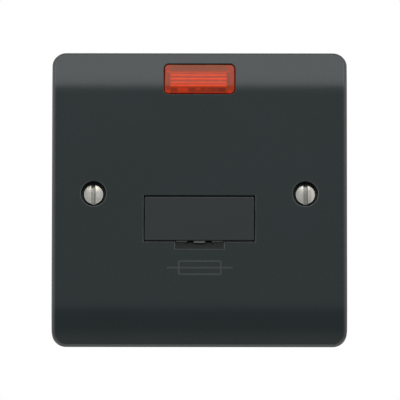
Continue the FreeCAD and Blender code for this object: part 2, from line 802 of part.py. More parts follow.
def make_fuse_contact(name, side):
    """A forked contact with its strip: the fork grips one fuse cap, the strip runs under its terminal."""
    body = new_body(name)
    level = -side
    across = CONTACT_OFFSET * side
    half = S.strip_width / 2
    arms = S.fuse_radius + S.prong_gap + S.prong_root + S.prong_wall
    fork_base = [centred(across, FUSE_Z, S.strip_width, arms * 2)]
    add(body, "fork_base", "XZ_Plane", STRIP_FRONT, STRIP_REAR, fork_base)
    add(
        body, "fork_arms", "YZ_Plane", across - half, across + half,
        [prong(side, as_size(-1)), prong(side, as_size(1))],
    )
    near = (CROSS_HEIGHT - half) * level
    past = (CROSS_HEIGHT + half) * level
    far = BAR_REACH * level
    leg = [
        (across - half * side, FUSE_Z),
        (across + half * side, FUSE_Z),
        (across + half * side, past),
        (half * side, past),
        (half * side, far),
        (-half * side, far),
        (-half * side, near),
        (across - half * side, near),
    ]
    add(body, "contact_strip", "XZ_Plane", STRIP_FRONT, STRIP_REAR, [leg])
    if side > 0:
        tap = box(across - half / 2, across + half / 2, FUSE_Z, S.load_tap + half / 2)
        add(body, "lamp_tap", "XZ_Plane", STRIP_FRONT, STRIP_REAR, [tap])
    return body


def make_bar(name, across):
    """The straight brass link under two terminals of one polarity."""
    body = new_body(name)
    outline = centred(across, ZERO, S.strip_width, BAR_REACH * 2)
    add(body, "bar", "XZ_Plane", STRIP_FRONT, STRIP_REAR, [outline])
    dress(body, "bar_ends", "Chamfer", S.block_chamfer, lambda e: along(e, 1))
    return body


def make_terminal(name, across, level):
    """A pillar terminal: brass block with a wire tunnel upright through it and a tapped hole behind."""
    body = new_body(name)
    centre = TERMINAL_HEIGHT * level
    half = S.block_width / 2
    low, high = centre - S.block_length / 2, centre + S.block_length / 2
    add(body, "block", "XY_Plane", low, high, [box(across - half, across + half, BLOCK_FRONT, BLOCK_REAR)])
    dress(body, "block_edges", "Chamfer", S.block_chamfer, lambda e: along(e, 2))
    tunnel = (across, TUNNEL_Y, S.tunnel_radius)
    cut(body, "wire_tunnel", "XY_Plane", low - PAST, high + PAST, circles=[tunnel])
    tapped = S.clamp_radius + S.clamp_clearance
    cut(body, "tapped_hole", "XZ_Plane", TUNNEL_Y, BLOCK_REAR + PAST, circles=[(across, centre, tapped)])
    return body


def make_clamp_screw(name, across, level):
    """A slotted cheese head screw, backed off so that its tip is level with the roof of the tunnel."""
    body = new_body(name)
    centre = TERMINAL_HEIGHT * level
    tip = TUNNEL_ROOF + S.running_gap
    under_head = BLOCK_REAR + S.clamp_travel + S.running_gap
    top = under_head + S.clamp_head_height
    radius, bevel = S.clamp_radius, S.clamp_bevel
    head, head_bevel = S.clamp_head_radius, S.clamp_head_bevel
    profile = [
        (across, tip),
        (across + radius - bevel, tip),
        (across + radius, tip + bevel),
        (across + radius, under_head),
        (across + head, under_head),
        (across + head, top - head_bevel),
        (across + head - head_bevel, top),
        (across, top),
    ]
    turn(body, "clamp_form", "XY_Plane", centre, profile, (across, tip), (across, top))
    half = S.clamp_slot_width / 2
    slot = box(across - half, across + half, top - S.clamp_slot_depth, top + PAST)
    reach = head + PAST
    cut(body, "head_slot", "XY_Plane", centre - reach, centre + reach, [slot])
    return body


def make_fixing_screw(name, across):
    """A slotted machine screw: raised head, plain neck through the plate and threaded end into the box."""
    body = new_body(name)
    seat = PLATE_FRONT + S.recess_depth
    top = seat - S.fixing_head_height
    neck_end = -S.boss_setback + S.thread_start
    tip = seat + S.fixing_length
    thread, bevel = S.fixing_thread, S.fixing_bevel
    profile = [
        (across, top),
        (across + S.fixing_head_radius, top),
        (across + S.fixing_head_radius, seat),
        (across + S.fixing_shank, seat),
        (across + S.fixing_shank, neck_end),
        (across + thread, neck_end),
        (across + thread, tip - bevel),
        (across + thread - bevel, tip),
        (across, tip),
    ]
    turn(body, "screw_form", "XY_Plane", ZERO, profile, (across, top), (across, tip))
    front = top.value
    dress(body, "head_dome", "Fillet", S.fixing_head_dome, lambda e: ring(e, 1, front))
    half = S.fixing_slot_width / 2
    slot = box(across - half, across + half, top - PAST, top + S.fixing_slot_depth)
    reach = S.fixing_head_radius + PAST
    cut(body, "head_slot", "XY_Plane", -reach, reach, [slot])
    return body


def make_assembly_screw(name, across, up):
    """A self-tapping screw from the rear base through the web into a post of the plate."""
    body = new_body(name)
    tip = S.web_front - S.assembly_grip
    under_head = ASSEMBLY_SEAT
    top = under_head + S.assembly_head_height
    radius, head, bevel = S.assembly_radius, S.assembly_head, S.assembly_head_bevel
    profile = [
        (across, tip),
        (across + S.assembly_point, tip),
        (across + radius, tip + S.assembly_taper),
        (across + radius, under_head),
        (across + head, under_head),
        (across + head, top - bevel),
        (across + head - bevel, top),
        (across, top),
    ]
    turn(body, "screw_form", "XY_Plane", up, profile, (across, tip), (across, top))
    width, length = S.cross_width, S.cross_length
    floor = top - S.cross_depth
    cut(body, "cross_upright", "XZ_Plane", floor, top + PAST, [centred(across, up, width, length)])
    cut(body, "cross_level", "XZ_Plane", floor, top + PAST, [centred(across, up, length, width)])
    return body


def make_group(name, members):
    """Several identical pieces as one node of separate solids."""
    group = DOC.addObject("Part::Compound", name)
    group.Label = name
    group.Links = members
    DOC.recompute()
    return group


def make_fuse_chamber():
    """The inner moulding: an insulating web with the carrier's well and the lamp box in front of it."""
    body = new_body("fuse_chamber")
    add(body, "web", "XZ_Plane", S.web_front, WEB_REAR, [centred(ZERO, ZERO, INNER_WIDTH, INNER_HEIGHT)])
    dress(body, "web_corners", "Fillet", S.base_corner, lambda e: along(e, 1))
    groove_half = CHEEK_OUTER + S.lug_rise + S.well_clearance
    well_half = APERTURE_WIDTH / 2 - S.well_clearance
    well_rise = APERTURE_HEIGHT / 2 - S.running_gap
    well_front = PLATE_INNER + S.well_gap
    outer = centred(ZERO, FUSE_Z, (groove_half + S.well_wall) * 2, (well_rise + S.well_wall) * 2)
    add(body, "well", "XZ_Plane", well_front, S.web_front, [outer])
    outer_half = (groove_half + S.well_wall).value
    dress(
        body, "well_corners", "Fillet", S.well_wall,
        lambda e: along(e, 1) and same(abs(middle(e).x), outer_half),
    )
    bore = centred(ZERO, FUSE_Z, well_half * 2, well_rise * 2)
    cut(body, "well_bore", "XZ_Plane", well_front - PAST, S.web_front, [bore])
    groove = centred(ZERO, FUSE_Z, groove_half * 2, S.lug_height + S.well_clearance * 2)
    cut(body, "lug_grooves", "XZ_Plane", well_front - PAST, S.web_front, [groove])
    cheek_inner = CHEEK_OUTER - S.cheek_wall - S.well_clearance
    cheek_rise = S.cheek_height / 2 + S.well_clearance
    fork_half = S.strip_width / 2 + S.well_clearance
    fork_rise = S.fuse_radius + S.prong_gap + S.prong_flare + S.prong_wall + S.well_clearance
    passages = []
    for side in SIDES:
        passages.append(
            [(side * cheek_inner, FUSE_Z - cheek_rise), (side * groove_half, FUSE_Z - cheek_rise),
             (side * groove_half, FUSE_Z + cheek_rise), (side * cheek_inner, FUSE_Z + cheek_rise)]
        )
        passages.append(centred(side * CONTACT_OFFSET, FUSE_Z, fork_half * 2, fork_rise * 2))
    cut(body, "web_passages", "XZ_Plane", S.web_front - LAP, WEB_REAR + PAST, passages)
    box_half = S.lamp_box_width / 2
    box_front = S.web_front - S.lamp_box_reach
    tongue = box(-box_half, box_half, INNER_HEIGHT / 2 - PAST, LAMP_BOX_HIGH)
    add(body, "web_tongue", "XZ_Plane", S.web_front, WEB_REAR, [tongue])
    lamp_box = box(-box_half, box_half, LAMP_BOX_LOW, LAMP_BOX_HIGH)
    add(body, "lamp_box", "XZ_Plane", box_front, WEB_REAR, [lamp_box])
    wall = S.lamp_box_wall
    hollow = box(-box_half + wall, box_half - wall, LAMP_BOX_LOW + wall, LAMP_BOX_HIGH - wall)
    cut(body, "lamp_hollow", "XZ_Plane", box_front - PAST, LAMP_BOX_FLOOR, [hollow])
    lead_gap = S.lead_radius * 4
    lead_slot = box(
        -S.lead_column - S.lead_step - lead_gap / 2, -S.lead_column + lead_gap / 2,
        LAMP_BOX_LOW - PAST, LAMP_BOX_LOW + wall + LAP,
    )
    cut(body, "lead_slot", "XZ_Plane", box_front - PAST, LAMP_BOX_FLOOR, [lead_slot])
    holes = [(across, up, S.assembly_bore) for across, up in ASSEMBLY_PLACES]
    holes.append((-TERMINAL_SPACING, NEUTRAL_TAP, S.lead_radius * 2))
    holes.append((CONTACT_OFFSET, S.load_tap, S.lead_radius * 2))
    cut(body, "web_holes", "XZ_Plane", S.web_front - LAP, WEB_REAR + PAST, circles=holes)
    return body


def make_rear_base():
    """The rear moulding: two terminal banks joined by a lower waist, open in front."""
    body = new_body("rear_base")
    half_width, half_height = INNER_WIDTH / 2, INNER_HEIGHT / 2
    outline = centred(ZERO, ZERO, INNER_WIDTH, INNER_HEIGHT)
    add(body, "block", "XZ_Plane", BASE_FRONT, BASE_REAR, [outline])
    dress(body, "block_corners", "Fillet", S.base_corner, lambda e: along(e, 1))
    waist_brim = WAIST_RISE + S.waist_slope
    waist = [
        (BASE_WAIST_REAR, -WAIST_RISE),
        (BASE_REAR, -waist_brim),
        (BASE_REAR + PAST, -waist_brim),
        (BASE_REAR + PAST, waist_brim),
        (BASE_REAR, waist_brim),
        (BASE_WAIST_REAR, WAIST_RISE),
    ]
    cut(body, "waist", "YZ_Plane", -half_width - PAST, half_width + PAST, [waist])
    rear = BASE_REAR.value
    dress(
        body, "rear_edges", "Fillet", S.base_edge,
        lambda e: all(same(vertex.Point.y, rear) for vertex in e.Vertexes),
    )
    rib_half = S.waist_rib_width / 2
    rib_pitch = INNER_WIDTH / WAIST_RIBS
    first_rib = -rib_pitch * ((WAIST_RIBS - 1) / 2)
    waist_rib = add(
        body, "waist_rib", "XZ_Plane", BASE_WAIST_REAR - LAP, BASE_WAIST_REAR + S.waist_rib_height,
        [box(first_rib - rib_half, first_rib + rib_half, -waist_brim, waist_brim)],
    )
    repeat(body, "waist_rib_row", [waist_rib], "X_Axis", rib_pitch, WAIST_RIBS)
    fin_middle = half_height + (S.fin_rise - LAP) / 2
    fins = [
        centred(side * TERMINAL_SPACING / 2, end * fin_middle, S.fin_width, S.fin_rise + LAP)
        for side in SIDES
        for end in SIDES
    ]
    add(body, "wire_fins", "XZ_Plane", BASE_FRONT + S.fin_setback, BASE_REAR - S.fin_setback, fins)
    collars = [(across, TERMINAL_HEIGHT * level, S.collar_radius) for across, level in TERMINALS.values()]
    add(body, "collars", "XZ_Plane", BASE_REAR - LAP, BASE_REAR + S.collar_rise, circles=collars)
    gap = S.chamber_gap
    chambers = [
        centred(across, TERMINAL_HEIGHT * level, S.block_width + gap * 2, S.block_length + gap * 2)
        for across, level in TERMINALS.values()
    ]
    cut(body, "chambers", "XZ_Plane", BASE_FRONT - PAST, CHAMBER_REAR, chambers)
    cut(
        body, "access_bores", "XZ_Plane", CHAMBER_REAR - LAP, BASE_REAR + S.collar_rise + PAST,
        circles=[(across, TERMINAL_HEIGHT * level, S.access_bore) for across, level in TERMINALS.values()],
    )
    room = centred(ZERO, ZERO, INNER_WIDTH - S.base_wall * 2, ROOM_RISE * 2)
    cut(body, "contact_room", "XZ_Plane", BASE_FRONT - PAST, BASE_WAIST_REAR - S.base_wall, [room])
    channels = [
        centred(across, ZERO, S.strip_width + gap * 2, (BAR_REACH + gap) * 2)
        for across in (-TERMINAL_SPACING, ZERO, TERMINAL_SPACING)
    ]
    cut(body, "strip_channels", "XZ_Plane", BASE_FRONT - PAST, BLOCK_FRONT, channels)
    entries = [(across, TUNNEL_Y, S.wire_entry) for across in (-TERMINAL_SPACING, ZERO, TERMINAL_SPACING)]
    cut(body, "upper_entries", "XY_Plane", BAR_REACH, half_height + PAST, circles=entries)
    cut(body, "lower_entries", "XY_Plane", -half_height - PAST, -BAR_REACH, circles=entries)
    end = half_height.value
    dress(body, "entry_leads", "Chamfer", S.entry_lead, lambda e: ring(e, 2, end) or ring(e, 2, -end))
    sunk = S.assembly_head + S.assembly_sink_gap
    cut(
        body, "assembly_sinks", "XZ_Plane", ASSEMBLY_SEAT, BASE_REAR + PAST,
        circles=[(across, up, sunk) for across, up in ASSEMBLY_PLACES],
    )
    cut(
        body, "assembly_bores", "XZ_Plane", BASE_FRONT - PAST, ASSEMBLY_SEAT + LAP,
        circles=[(across, up, S.assembly_bore) for across, up in ASSEMBLY_PLACES],
    )
    return body


def make_neon_lamp():
    """The glass envelope: a thin closed tube with a pinched seal at one end and a drawn tip at the other."""
    body = new_body("neon_lamp")
    start, end = LAMP_FOOT, LAMP_FOOT + S.lamp_length
    up, radius = LAMP_Z, S.lamp_radius
    nose = end - S.nose_length
    outer = [
        (start, up),
        (start, up + S.seal_radius),
        (start + S.seal_length, up + radius),
        (nose, up + radius),
        (end - S.tip_length, up + S.tip_radius),
        (end, up + S.tip_radius),
        (end, up),
    ]
    turn(body, "envelope", "XZ_Plane", LAMP_Y, outer, (start, up), (end, up))
    shoulder = nose.value
    dress(body, "nose", "Fillet", S.nose_round, lambda e: ring(e, 0, shoulder))
    bore = radius - S.lamp_glass
    gas_start = start + S.seal_thickness
    before = body.Shape.Volume
    space = [(gas_start, up), (gas_start, up + bore), (nose, up + bore), (nose, up)]
    turn(body, "gas_space", "XZ_Plane", LAMP_Y, space, (gas_start, up), (nose, up), "Groove")
    if body.Shape.Volume >= before:
        raise RuntimeError("the gas space removes nothing")
    return body


def make_electrodes():
    """The two nickel rods inside the lamp."""
    members = []
    start = LAMP_FOOT + S.seal_thickness
    for index, level in enumerate((-1, 1), start=1):
        body = new_body(f"electrode_{index}")
        up = LAMP_Z + S.electrode_spacing / 2 * level
        add(
            body, "rod", "YZ_Plane", start, start + S.electrode_length,
            circles=[(LAMP_Y, up, S.electrode_radius)],
        )
        members.append(body)
    return make_group("neon_electrodes", members)


def make_resistor():
    """The axial resistor: a moulded barrel with swollen ends."""
    body = new_body("neon_resistor")
    half = S.resistor_length / 2
    up, radius, waist = RESISTOR_Z, S.resistor_radius, S.resistor_waist
    collar = half - S.resistor_collar
    neck = collar - S.resistor_neck
    left = [
        (-half, up),
        (-half, up + S.resistor_end),
        (-half + S.resistor_round, up + radius),
        (-collar, up + radius),
        (-neck, up + waist),
    ]
    right = [(-across, height) for across, height in reversed(left)]
    turn(body, "barrel", "XZ_Plane", RESISTOR_Y, left + right, (-half, up), (half, up))
    return body


def rounded_path(points, bend):
    """A wire of straight runs joined by tangent arcs of one radius."""
    edges = []
    start = points[0]
    for index in range(1, len(points) - 1):
        corner = points[index]
        before = (points[index - 1] - corner).normalize()
        after = (points[index + 1] - corner).normalize()
        half_angle = before.getAngle(after) / 2
        setback = bend / math.tan(half_angle)
        first = corner + before * setback
        last = corner + after * setback
        inward = (before + after).normalize()
        nearest = corner + inward * (bend / math.sin(half_angle) - bend)
        edges.append(Part.LineSegment(start, first).toShape())
        edges.append(Part.Arc(first, nearest, last).toShape())
        start = last
    edges.append(Part.LineSegment(start, points[-1]).toShape())
    return Part.Wire(edges)


def make_lead(name, places):
    """A bare lead of round wire along a route of straight runs and arcs."""
    points = [FreeCAD.Vector(*[value.value for value in place]) for place in places]
    path = rounded_path(points, S.lead_bend.value)
    direction = points[1] - points[0]
    circle = Part.Circle(points[0], direction, S.lead_radius.value)
    profile = Part.Wire([circle.toShape()])
    feature = DOC.addObject("Part::Feature", name)
    feature.Label = name
    feature.Shape = path.makePipeShell([profile], True, False)
    return feature


def make_leads():
    """The lamp's two leads and the resistor's tail to the load contact."""
    low = LAMP_Z - S.electrode_spacing / 2
    high = LAMP_Z + S.electrode_spacing / 2
    inner, outer = -S.lead_column, -S.lead_column - S.lead_step
    half = S.resistor_length / 2
    touch = STRIP_FRONT
    link = make_lead("lamp_resistor_lead", [
        (LAMP_FOOT, LAMP_Y, low), (inner, LAMP_Y, low), (inner, LAMP_Y, RESISTOR_Z + S.lead_drop),
        (inner, RESISTOR_Y, RESISTOR_Z), (-half, RESISTOR_Y, RESISTOR_Z),
    ])
    neutral = make_lead("neutral_lead", [
        (LAMP_FOOT, LAMP_Y, high), (outer, LAMP_Y, high), (outer, LAMP_Y, NEUTRAL_TAP),
        (-TERMINAL_SPACING, LAMP_Y, NEUTRAL_TAP), (-TERMINAL_SPACING, touch, NEUTRAL_TAP),
    ])
    load = make_lead("load_lead", [
        (half, RESISTOR_Y, RESISTOR_Z), (CONTACT_OFFSET, RESISTOR_Y, RESISTOR_Z),
        (CONTACT_OFFSET, RESISTOR_Y, S.load_tap), (CONTACT_OFFSET, touch, S.load_tap),
    ])
    return [link, neutral, load]


def check_document():
    """Stops if any object of the document failed."""
    DOC.recompute()
    for item in DOC.Objects:
        bad = [state for state in item.State if state in ("Invalid", "Error")]
        if bad:
            raise RuntimeError(f"{item.Label} is {bad}")


def export(pieces):
    """Writes each piece to its own file after checking its shape."""
    os.makedirs("parts", exist_ok=True)
    for piece in pieces:
        shape = piece.Shape
        if shape.isNull() or not shape.isValid() or not shape.Solids:
            raise RuntimeError(f"{piece.Label} has no valid solid")
        shape.exportStep(f"parts/{piece.Label}.step")


def build():
    """Makes every piece of the unit."""
    pieces = [
        make_front_plate(),
        make_neon_lens(),
        make_fuse_carrier(),
        make_fuse_tube(),
        make_fuse_cap("fuse_cap_left", -1),
        make_fuse_cap("fuse_cap_right", 1),
        make_fuse_chamber(),
        make_rear_base(),
        make_fuse_contact("supply_fuse_contact", -1),
        make_fuse_contact("load_fuse_contact", 1),
        make_bar("neutral_bar", -TERMINAL_SPACING),
        make_bar("earth_bar", TERMINAL_SPACING),
        make_neon_lamp(),
        make_electrodes(),
        make_resistor(),
    ]
    pieces += make_leads()
    for name, (across, level) in TERMINALS.items():
        pieces.append(make_terminal(f"{name}_terminal", across, level))
        pieces.append(make_clamp_screw(f"{name}_screw", across, level))
    fixings = [
        make_fixing_screw(f"fixing_screw_{index}", place) for index, place in enumerate(FIXINGS, start=1)
    ]
    pieces.append(make_group("fixing_screws", fixings))
    screws = [
        make_assembly_screw(f"assembly_screw_{index}", across, up)
        for index, (across, up) in enumerate(ASSEMBLY_PLACES, start=1)
    ]
    pieces.append(make_group("assembly_screws", screws))
    return pieces


DOC = FreeCAD.newDocument("fused_spur_unit")
make_sheet(DOC)
PIECES = build()
check_document()
export(PIECES)
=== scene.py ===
"""The looks of a one-gang fused spur unit: finishes, threaded screws, the moulded fuse sign and the studio.

Lengths are in metres unless a name or note says millimetres. X runs to the right, Z up and Y into the wall.
"""

import logging
import math
from dataclasses import dataclass, field
from enum import Enum

import bpy
from bpy.types import Material, Node, NodeSocket, Object, ShaderNodeTree
from mathutils import Matrix, Vector


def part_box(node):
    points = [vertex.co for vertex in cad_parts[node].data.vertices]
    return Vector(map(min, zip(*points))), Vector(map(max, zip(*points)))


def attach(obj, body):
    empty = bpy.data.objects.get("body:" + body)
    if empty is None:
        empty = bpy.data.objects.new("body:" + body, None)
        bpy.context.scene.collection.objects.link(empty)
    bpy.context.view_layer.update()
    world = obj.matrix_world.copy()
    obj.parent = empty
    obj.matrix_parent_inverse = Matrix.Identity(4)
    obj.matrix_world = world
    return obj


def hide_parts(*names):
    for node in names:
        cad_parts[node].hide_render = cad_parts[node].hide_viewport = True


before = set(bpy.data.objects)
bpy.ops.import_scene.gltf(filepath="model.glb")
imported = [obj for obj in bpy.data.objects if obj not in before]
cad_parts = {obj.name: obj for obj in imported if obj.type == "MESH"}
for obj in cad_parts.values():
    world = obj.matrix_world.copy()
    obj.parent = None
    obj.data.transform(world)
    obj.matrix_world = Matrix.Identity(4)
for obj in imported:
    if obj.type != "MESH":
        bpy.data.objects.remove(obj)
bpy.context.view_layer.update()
LOG = logging.getLogger("fused_spur_unit")
MM = 0.001
MERGE = 0.002 * MM
TERMINAL_NAMES = ("neutral_in", "live_in", "earth_in", "neutral_out", "live_out", "earth_out")

Colour = tuple[float, float, float]
Place = tuple[float, float, float]
Pair = tuple[float, float]
Span = tuple[float, float]

# The parts of a noise's range over which most finishes change.
CORE: Span = (0.3, 0.7)
WIDE: Span = (0.25, 0.75)


class Drive(Enum):
    """What turns a screw: the angles of the cuts in its head, in radians."""

    SLOT = (0.0,)
    CROSS = (0.0, math.pi / 2)


class Facing(Enum):
    """Which way a screw's head looks: the turn about X that a head-up screw needs, in radians."""

    FRONT = math.pi / 2
    BACK = -math.pi / 2


@dataclass(frozen=True)
class Patch:
    """A rectangular zone of a finish with soft edges, in millimetres, and the share of its colour that shows."""

    across: Span
    up: Span
    colour: Colour
    soft: float = 0.12
    share: float = 1.0


@dataclass(frozen=True)
class Ring:
    """A ring with soft edges in the XZ plane, and its twin across X = 0, in millimetres."""

    centre: Pair
    radii: Span
    colour: Colour
    soft: float = 0.12


@dataclass(frozen=True)
class EdgeHighlight:
    """The rounded front edges of a moulding, and the colour of the painted highlight laid on them.

    The first three spans are tilts in degrees, where the painted highlight starts to show and where it is full.
    The fourth is where it starts to fade and has gone. Over the margin, a span of distances from X = 0 in
    millimetres, the flat face takes on a share of the painted highlight too.
    """

    colour: Colour
    sideways: Span = (3.5, 14.0)
    upward: Span = (34.0, 46.0)
    downward: Span = (50.0, 62.0)
    ended: Span = (66.0, 82.0)
    margin: Span = (40.75, 41.4)
    margin_share: float = 0.72


class Nodes:
    """A tree of nodes, with the calls that every tree needs."""

    def __init__(self, tree: ShaderNodeTree) -> None:
        """Keeps the tree."""
        self.tree = tree

    def add(self, kind: str, inputs: dict[int | str, object] | None = None, **settings: object) -> Node:
        """Adds a node.

        Args:
            kind: The node's type.
            inputs: What its inputs get, by their names or places.
            settings: Attributes to set on it.

        Returns:
            The new node.
        """
        node = self.tree.nodes.new(kind)
        for name, value in settings.items():
            setattr(node, name, value)
        for name, value in (inputs or {}).items():
            self.feed(node.inputs[name], value)
        return node

    def feed(self, socket: NodeSocket, value: object) -> None:
        """Gives a socket a constant or another socket's value.

        Args:
            socket: The input.
            value: A number, a colour or an output socket.
        """
        if isinstance(value, NodeSocket):
            self.tree.links.new(value, socket)
        elif socket.type == "RGBA":
            socket.default_value = (*value, 1.0)
        else:
            socket.default_value = value

    def math(self, kind: str, first: object, second: object = 0.0) -> NodeSocket:
        """The result of an operation on one or two values."""
        return self.add("ShaderNodeMath", {0: first, 1: second}, operation=kind).outputs["Value"]

    def blend(self, share: NodeSocket, first: NodeSocket, second: NodeSocket, end: str) -> None:
        """Mixes two shaders into the surface of the node of that name, which ends the tree."""
        mixed = self.add("ShaderNodeMixShader", {0: share, 1: first, 2: second}).outputs[0]
        self.feed(self.tree.nodes[end].inputs["Surface"], mixed)


class Shading(Nodes):
    """The nodes of one material, with a call for each kind of node that the finishes use."""

    def __init__(self, name: str) -> None:
        """Starts a material.

        Args:
            name: The material's name.
        """
        self.material = bpy.data.materials.new(name)
        self.material.use_nodes = True
        super().__init__(self.material.node_tree)
        self.shader = self.tree.nodes["Principled BSDF"]
        coordinates = self.add("ShaderNodeTexCoord").outputs
        self.place = coordinates["Object"]
        self.facing = coordinates["Normal"]

    def surface(self, **sockets: object) -> None:
        """Feeds the shader's inputs, each named in lower case with underscores."""
        for name, value in sockets.items():
            self.feed(self.shader.inputs[name.replace("_", " ").title().replace("Ior", "IOR")], value)

    def stretched(self, scale: Place) -> NodeSocket:
        """The object's coordinates, scaled along each axis."""
        return self.add("ShaderNodeMapping", {"Vector": self.place, "Scale": scale}).outputs["Vector"]

    def noise(self, scale: float, detail: float = 2.0, vector: NodeSocket | None = None) -> NodeSocket:
        """A noise about 0.5, with scale swells in a metre, or in a unit of the vector if it reads one."""
        inputs = {"Vector": vector or self.place, "Scale": scale, "Detail": detail}
        return self.add("ShaderNodeTexNoise", inputs).outputs["Fac"]

    def pits(self, scale: float) -> NodeSocket:
        """The distance to the nearest of many scattered points, in cells, with scale cells in a metre."""
        return self.add("ShaderNodeTexVoronoi", {"Vector": self.place, "Scale": scale}).outputs["Distance"]

    def product(self, first: object, second: object) -> NodeSocket:
        """The product of two values."""
        return self.math("MULTIPLY", first, second)

    def ramp(self, value: object, low: float, high: float, start: float = 0.0, end: float = 1.0) -> NodeSocket:
        """A value eased from start at low to end at high, and held beyond them."""
        inputs = {"Value": value, "From Min": low, "From Max": high, "To Min": start, "To Max": end}
        return self.add("ShaderNodeMapRange", inputs, interpolation_type="SMOOTHSTEP").outputs["Result"]

    def swing(self, noise: NodeSocket, span: Span, middle: float, reach: float) -> NodeSocket:
        """A value that goes by a reach to each side of its middle as a noise crosses a span."""
        return self.ramp(noise, *span, middle - reach, middle + reach)

    def band(self, value: NodeSocket, span: Span, soft: float) -> NodeSocket:
        """One within a span and nothing outside it, with edges twice soft wide."""
        rise = self.ramp(value, span[0] - soft, span[0] + soft)
        return self.product(rise, self.ramp(value, span[1] - soft, span[1] + soft, 1.0, 0.0))

    def mix(self, share: object, first: object, second: object, kind: str = "MIX") -> NodeSocket:
        """Two colours, the node's inputs 6 and 7, mixed by a share of the second."""
        inputs = {0: share, 6: first, 7: second}
        return self.add("ShaderNodeMix", inputs, data_type="RGBA", blend_type=kind).outputs[2]

    def toned(self, colour: object, tone: NodeSocket) -> NodeSocket:
        """A colour that is as much lighter or darker as a tone says."""
        grey = self.add("ShaderNodeCombineColor", {0: tone, 1: tone, 2: tone}).outputs["Color"]
        return self.mix(1.0, colour, grey, "MULTIPLY")

    def parts(self, vector: NodeSocket) -> list[NodeSocket]:
        """The X, Y and Z of a vector."""
        return list(self.add("ShaderNodeSeparateXYZ", {0: vector}).outputs)

    def millimetres(self) -> list[NodeSocket]:
        """The object's X, Y and Z coordinates in millimetres."""
        return self.parts(self.stretched((1.0 / MM, 1.0 / MM, 1.0 / MM)))

    def rounded(self, edges: EdgeHighlight) -> NodeSocket:
        """Picks out the rounded front edges of a moulding, where the painted highlight goes.

        Args:
            edges: Where they start and end.

        Returns:
            One on the edges and nothing on the flat faces and sides.
        """
        across, inward, up = self.parts(self.facing)
        aside = self.math("ABSOLUTE", self.millimetres()[0])
        share = self.product(self.ramp(aside, *edges.margin), edges.margin_share)
        turns = (
            (self.math("ABSOLUTE", across), edges.sideways),
            (up, edges.upward),
            (self.product(up, -1.0), edges.downward),
        )
        for turn, tilts in turns:
            start, full = (math.sin(math.radians(tilt)) for tilt in tilts)
            share = self.math("MAXIMUM", share, self.ramp(turn, start, full))
        fading, gone = (math.cos(math.radians(tilt)) for tilt in edges.ended)
        return self.product(share, self.ramp(self.product(inward, -1.0), gone, fading))

    def flank(self, turned: Span) -> NodeSocket:
        """One on faces turned from the front and back by more than a span in degrees, and eased within it."""
        start, full = (math.cos(math.radians(turn)) for turn in turned)
        return self.ramp(self.math("ABSOLUTE", self.parts(self.facing)[1]), full, start, 1.0, 0.0)

    def ringed(self, colour: object, ring: Ring) -> NodeSocket:
        """Lays a ring over a colour.

        Args:
            colour: The colour underneath.
            ring: The ring.

        Returns:
            The colour with the ring on it.
        """
        across, _, up = self.millimetres()
        aside = self.math("SUBTRACT", self.math("ABSOLUTE", across), ring.centre[0])
        above = self.math("SUBTRACT", up, ring.centre[1])
        squares = self.math("ADD", self.product(aside, aside), self.product(above, above))
        distance = self.math("SQRT", squares)
        return self.mix(self.band(distance, ring.radii, ring.soft), colour, ring.colour)

    def within(self, patch: Patch, across: NodeSocket, up: NodeSocket) -> NodeSocket:
        """One inside a patch and nothing outside it."""
        sides = self.band(across, patch.across, patch.soft)
        return self.product(sides, self.band(up, patch.up, patch.soft))

    def patched(self, colour: object, patches: tuple[Patch, ...]) -> object:
        """Lays patches over a colour, in order.

        Args:
            colour: The colour underneath.
            patches: The patches.

        Returns:
            The colour with the patches on it.
        """
        if not patches:
            return colour
        across, _, up = self.millimetres()
        for patch in patches:
            inside = self.within(patch, across, up)
            share = self.product(inside, patch.share) if patch.share < 1.0 else inside
            colour = self.mix(share, colour, patch.colour)
        return colour

    def bump(self, height: NodeSocket, depth: float, onto: NodeSocket | None = None) -> NodeSocket:
        """The normal of a relief, depth high where its height is one, laid over another's if one is given."""
        under = {"Normal": onto} if onto else {}
        return self.add("ShaderNodeBump", {"Distance": depth, "Height": height, **under}).outputs["Normal"]


# The plate: a painted reflection that makes its lower end paler, and painted shade in the notch under the
# drawer.
PLATE_PAINTED_LIGHT_AND_SHADE = (
    Patch((-43.0, 43.0), (-46.0, -40.0), (0.0185, 0.0245, 0.0248), 2.3),
    Patch((-7.05, 7.05), (-15.7, -13.4), (0.0050, 0.0080, 0.0085), 0.1),
    Patch((-7.05, 7.05), (-14.9, -13.4), (0.0010, 0.0015, 0.0018), 0.45),
)
# The lower edge of the drawer's finger tab and the lips beside it, painted paler as a highlight where they catch
# the light, palest in the middle on the tab.
PULL_PAINTED_HIGHLIGHT = (
    Patch((-7.3, 7.3), (-14.6, -13.55), (0.082, 0.087, 0.085), 0.04),
    Patch((-1.7, 1.7), (-14.6, -13.55), (0.135, 0.139, 0.135), 0.04),
)
# The softened rims of the recesses round the fixing screws, painted paler as a highlight where they catch the
# light.
RECESS_RIM_HIGHLIGHT = Ring((30.15, 0.0), (3.5, 3.95), (0.0170, 0.0228, 0.0235))
# Painted light and shade on the fixing screws' heads, as shares of the light they give back: the right head
# painted dimmer, with a painted highlight on its rim and painted shade in its slot, darker along one side, then
# the left head with a painted highlight on its top and painted shade in its slot, darker along one side and at
# the slot's top end.
SCREW_PAINTED_LIGHT_AND_SHADE = (
    Patch((27.1, 33.2), (-3.1, 3.1), (0.87, 0.87, 0.87)),
    Patch((31.9, 33.2), (-2.2, 2.2), (1.34, 1.32, 1.26), 0.2),
    Patch((29.67, 30.83), (-3.1, 3.1), (0.50, 0.50, 0.49), 0.04),
    Patch((30.57, 30.86), (-3.1, 3.1), (0.34, 0.34, 0.33), 0.05),
    Patch((-33.2, -27.1), (1.15, 3.1), (1.12, 1.08, 1.00)),
    Patch((-30.83, -29.67), (-3.1, 3.1), (0.69, 0.69, 0.67), 0.04),
    Patch((-30.83, -29.67), (1.7, 3.1), (0.34, 0.32, 0.28), 0.3),
    Patch((-29.94, -29.64), (-3.1, 3.1), (0.36, 0.36, 0.35), 0.05),
)


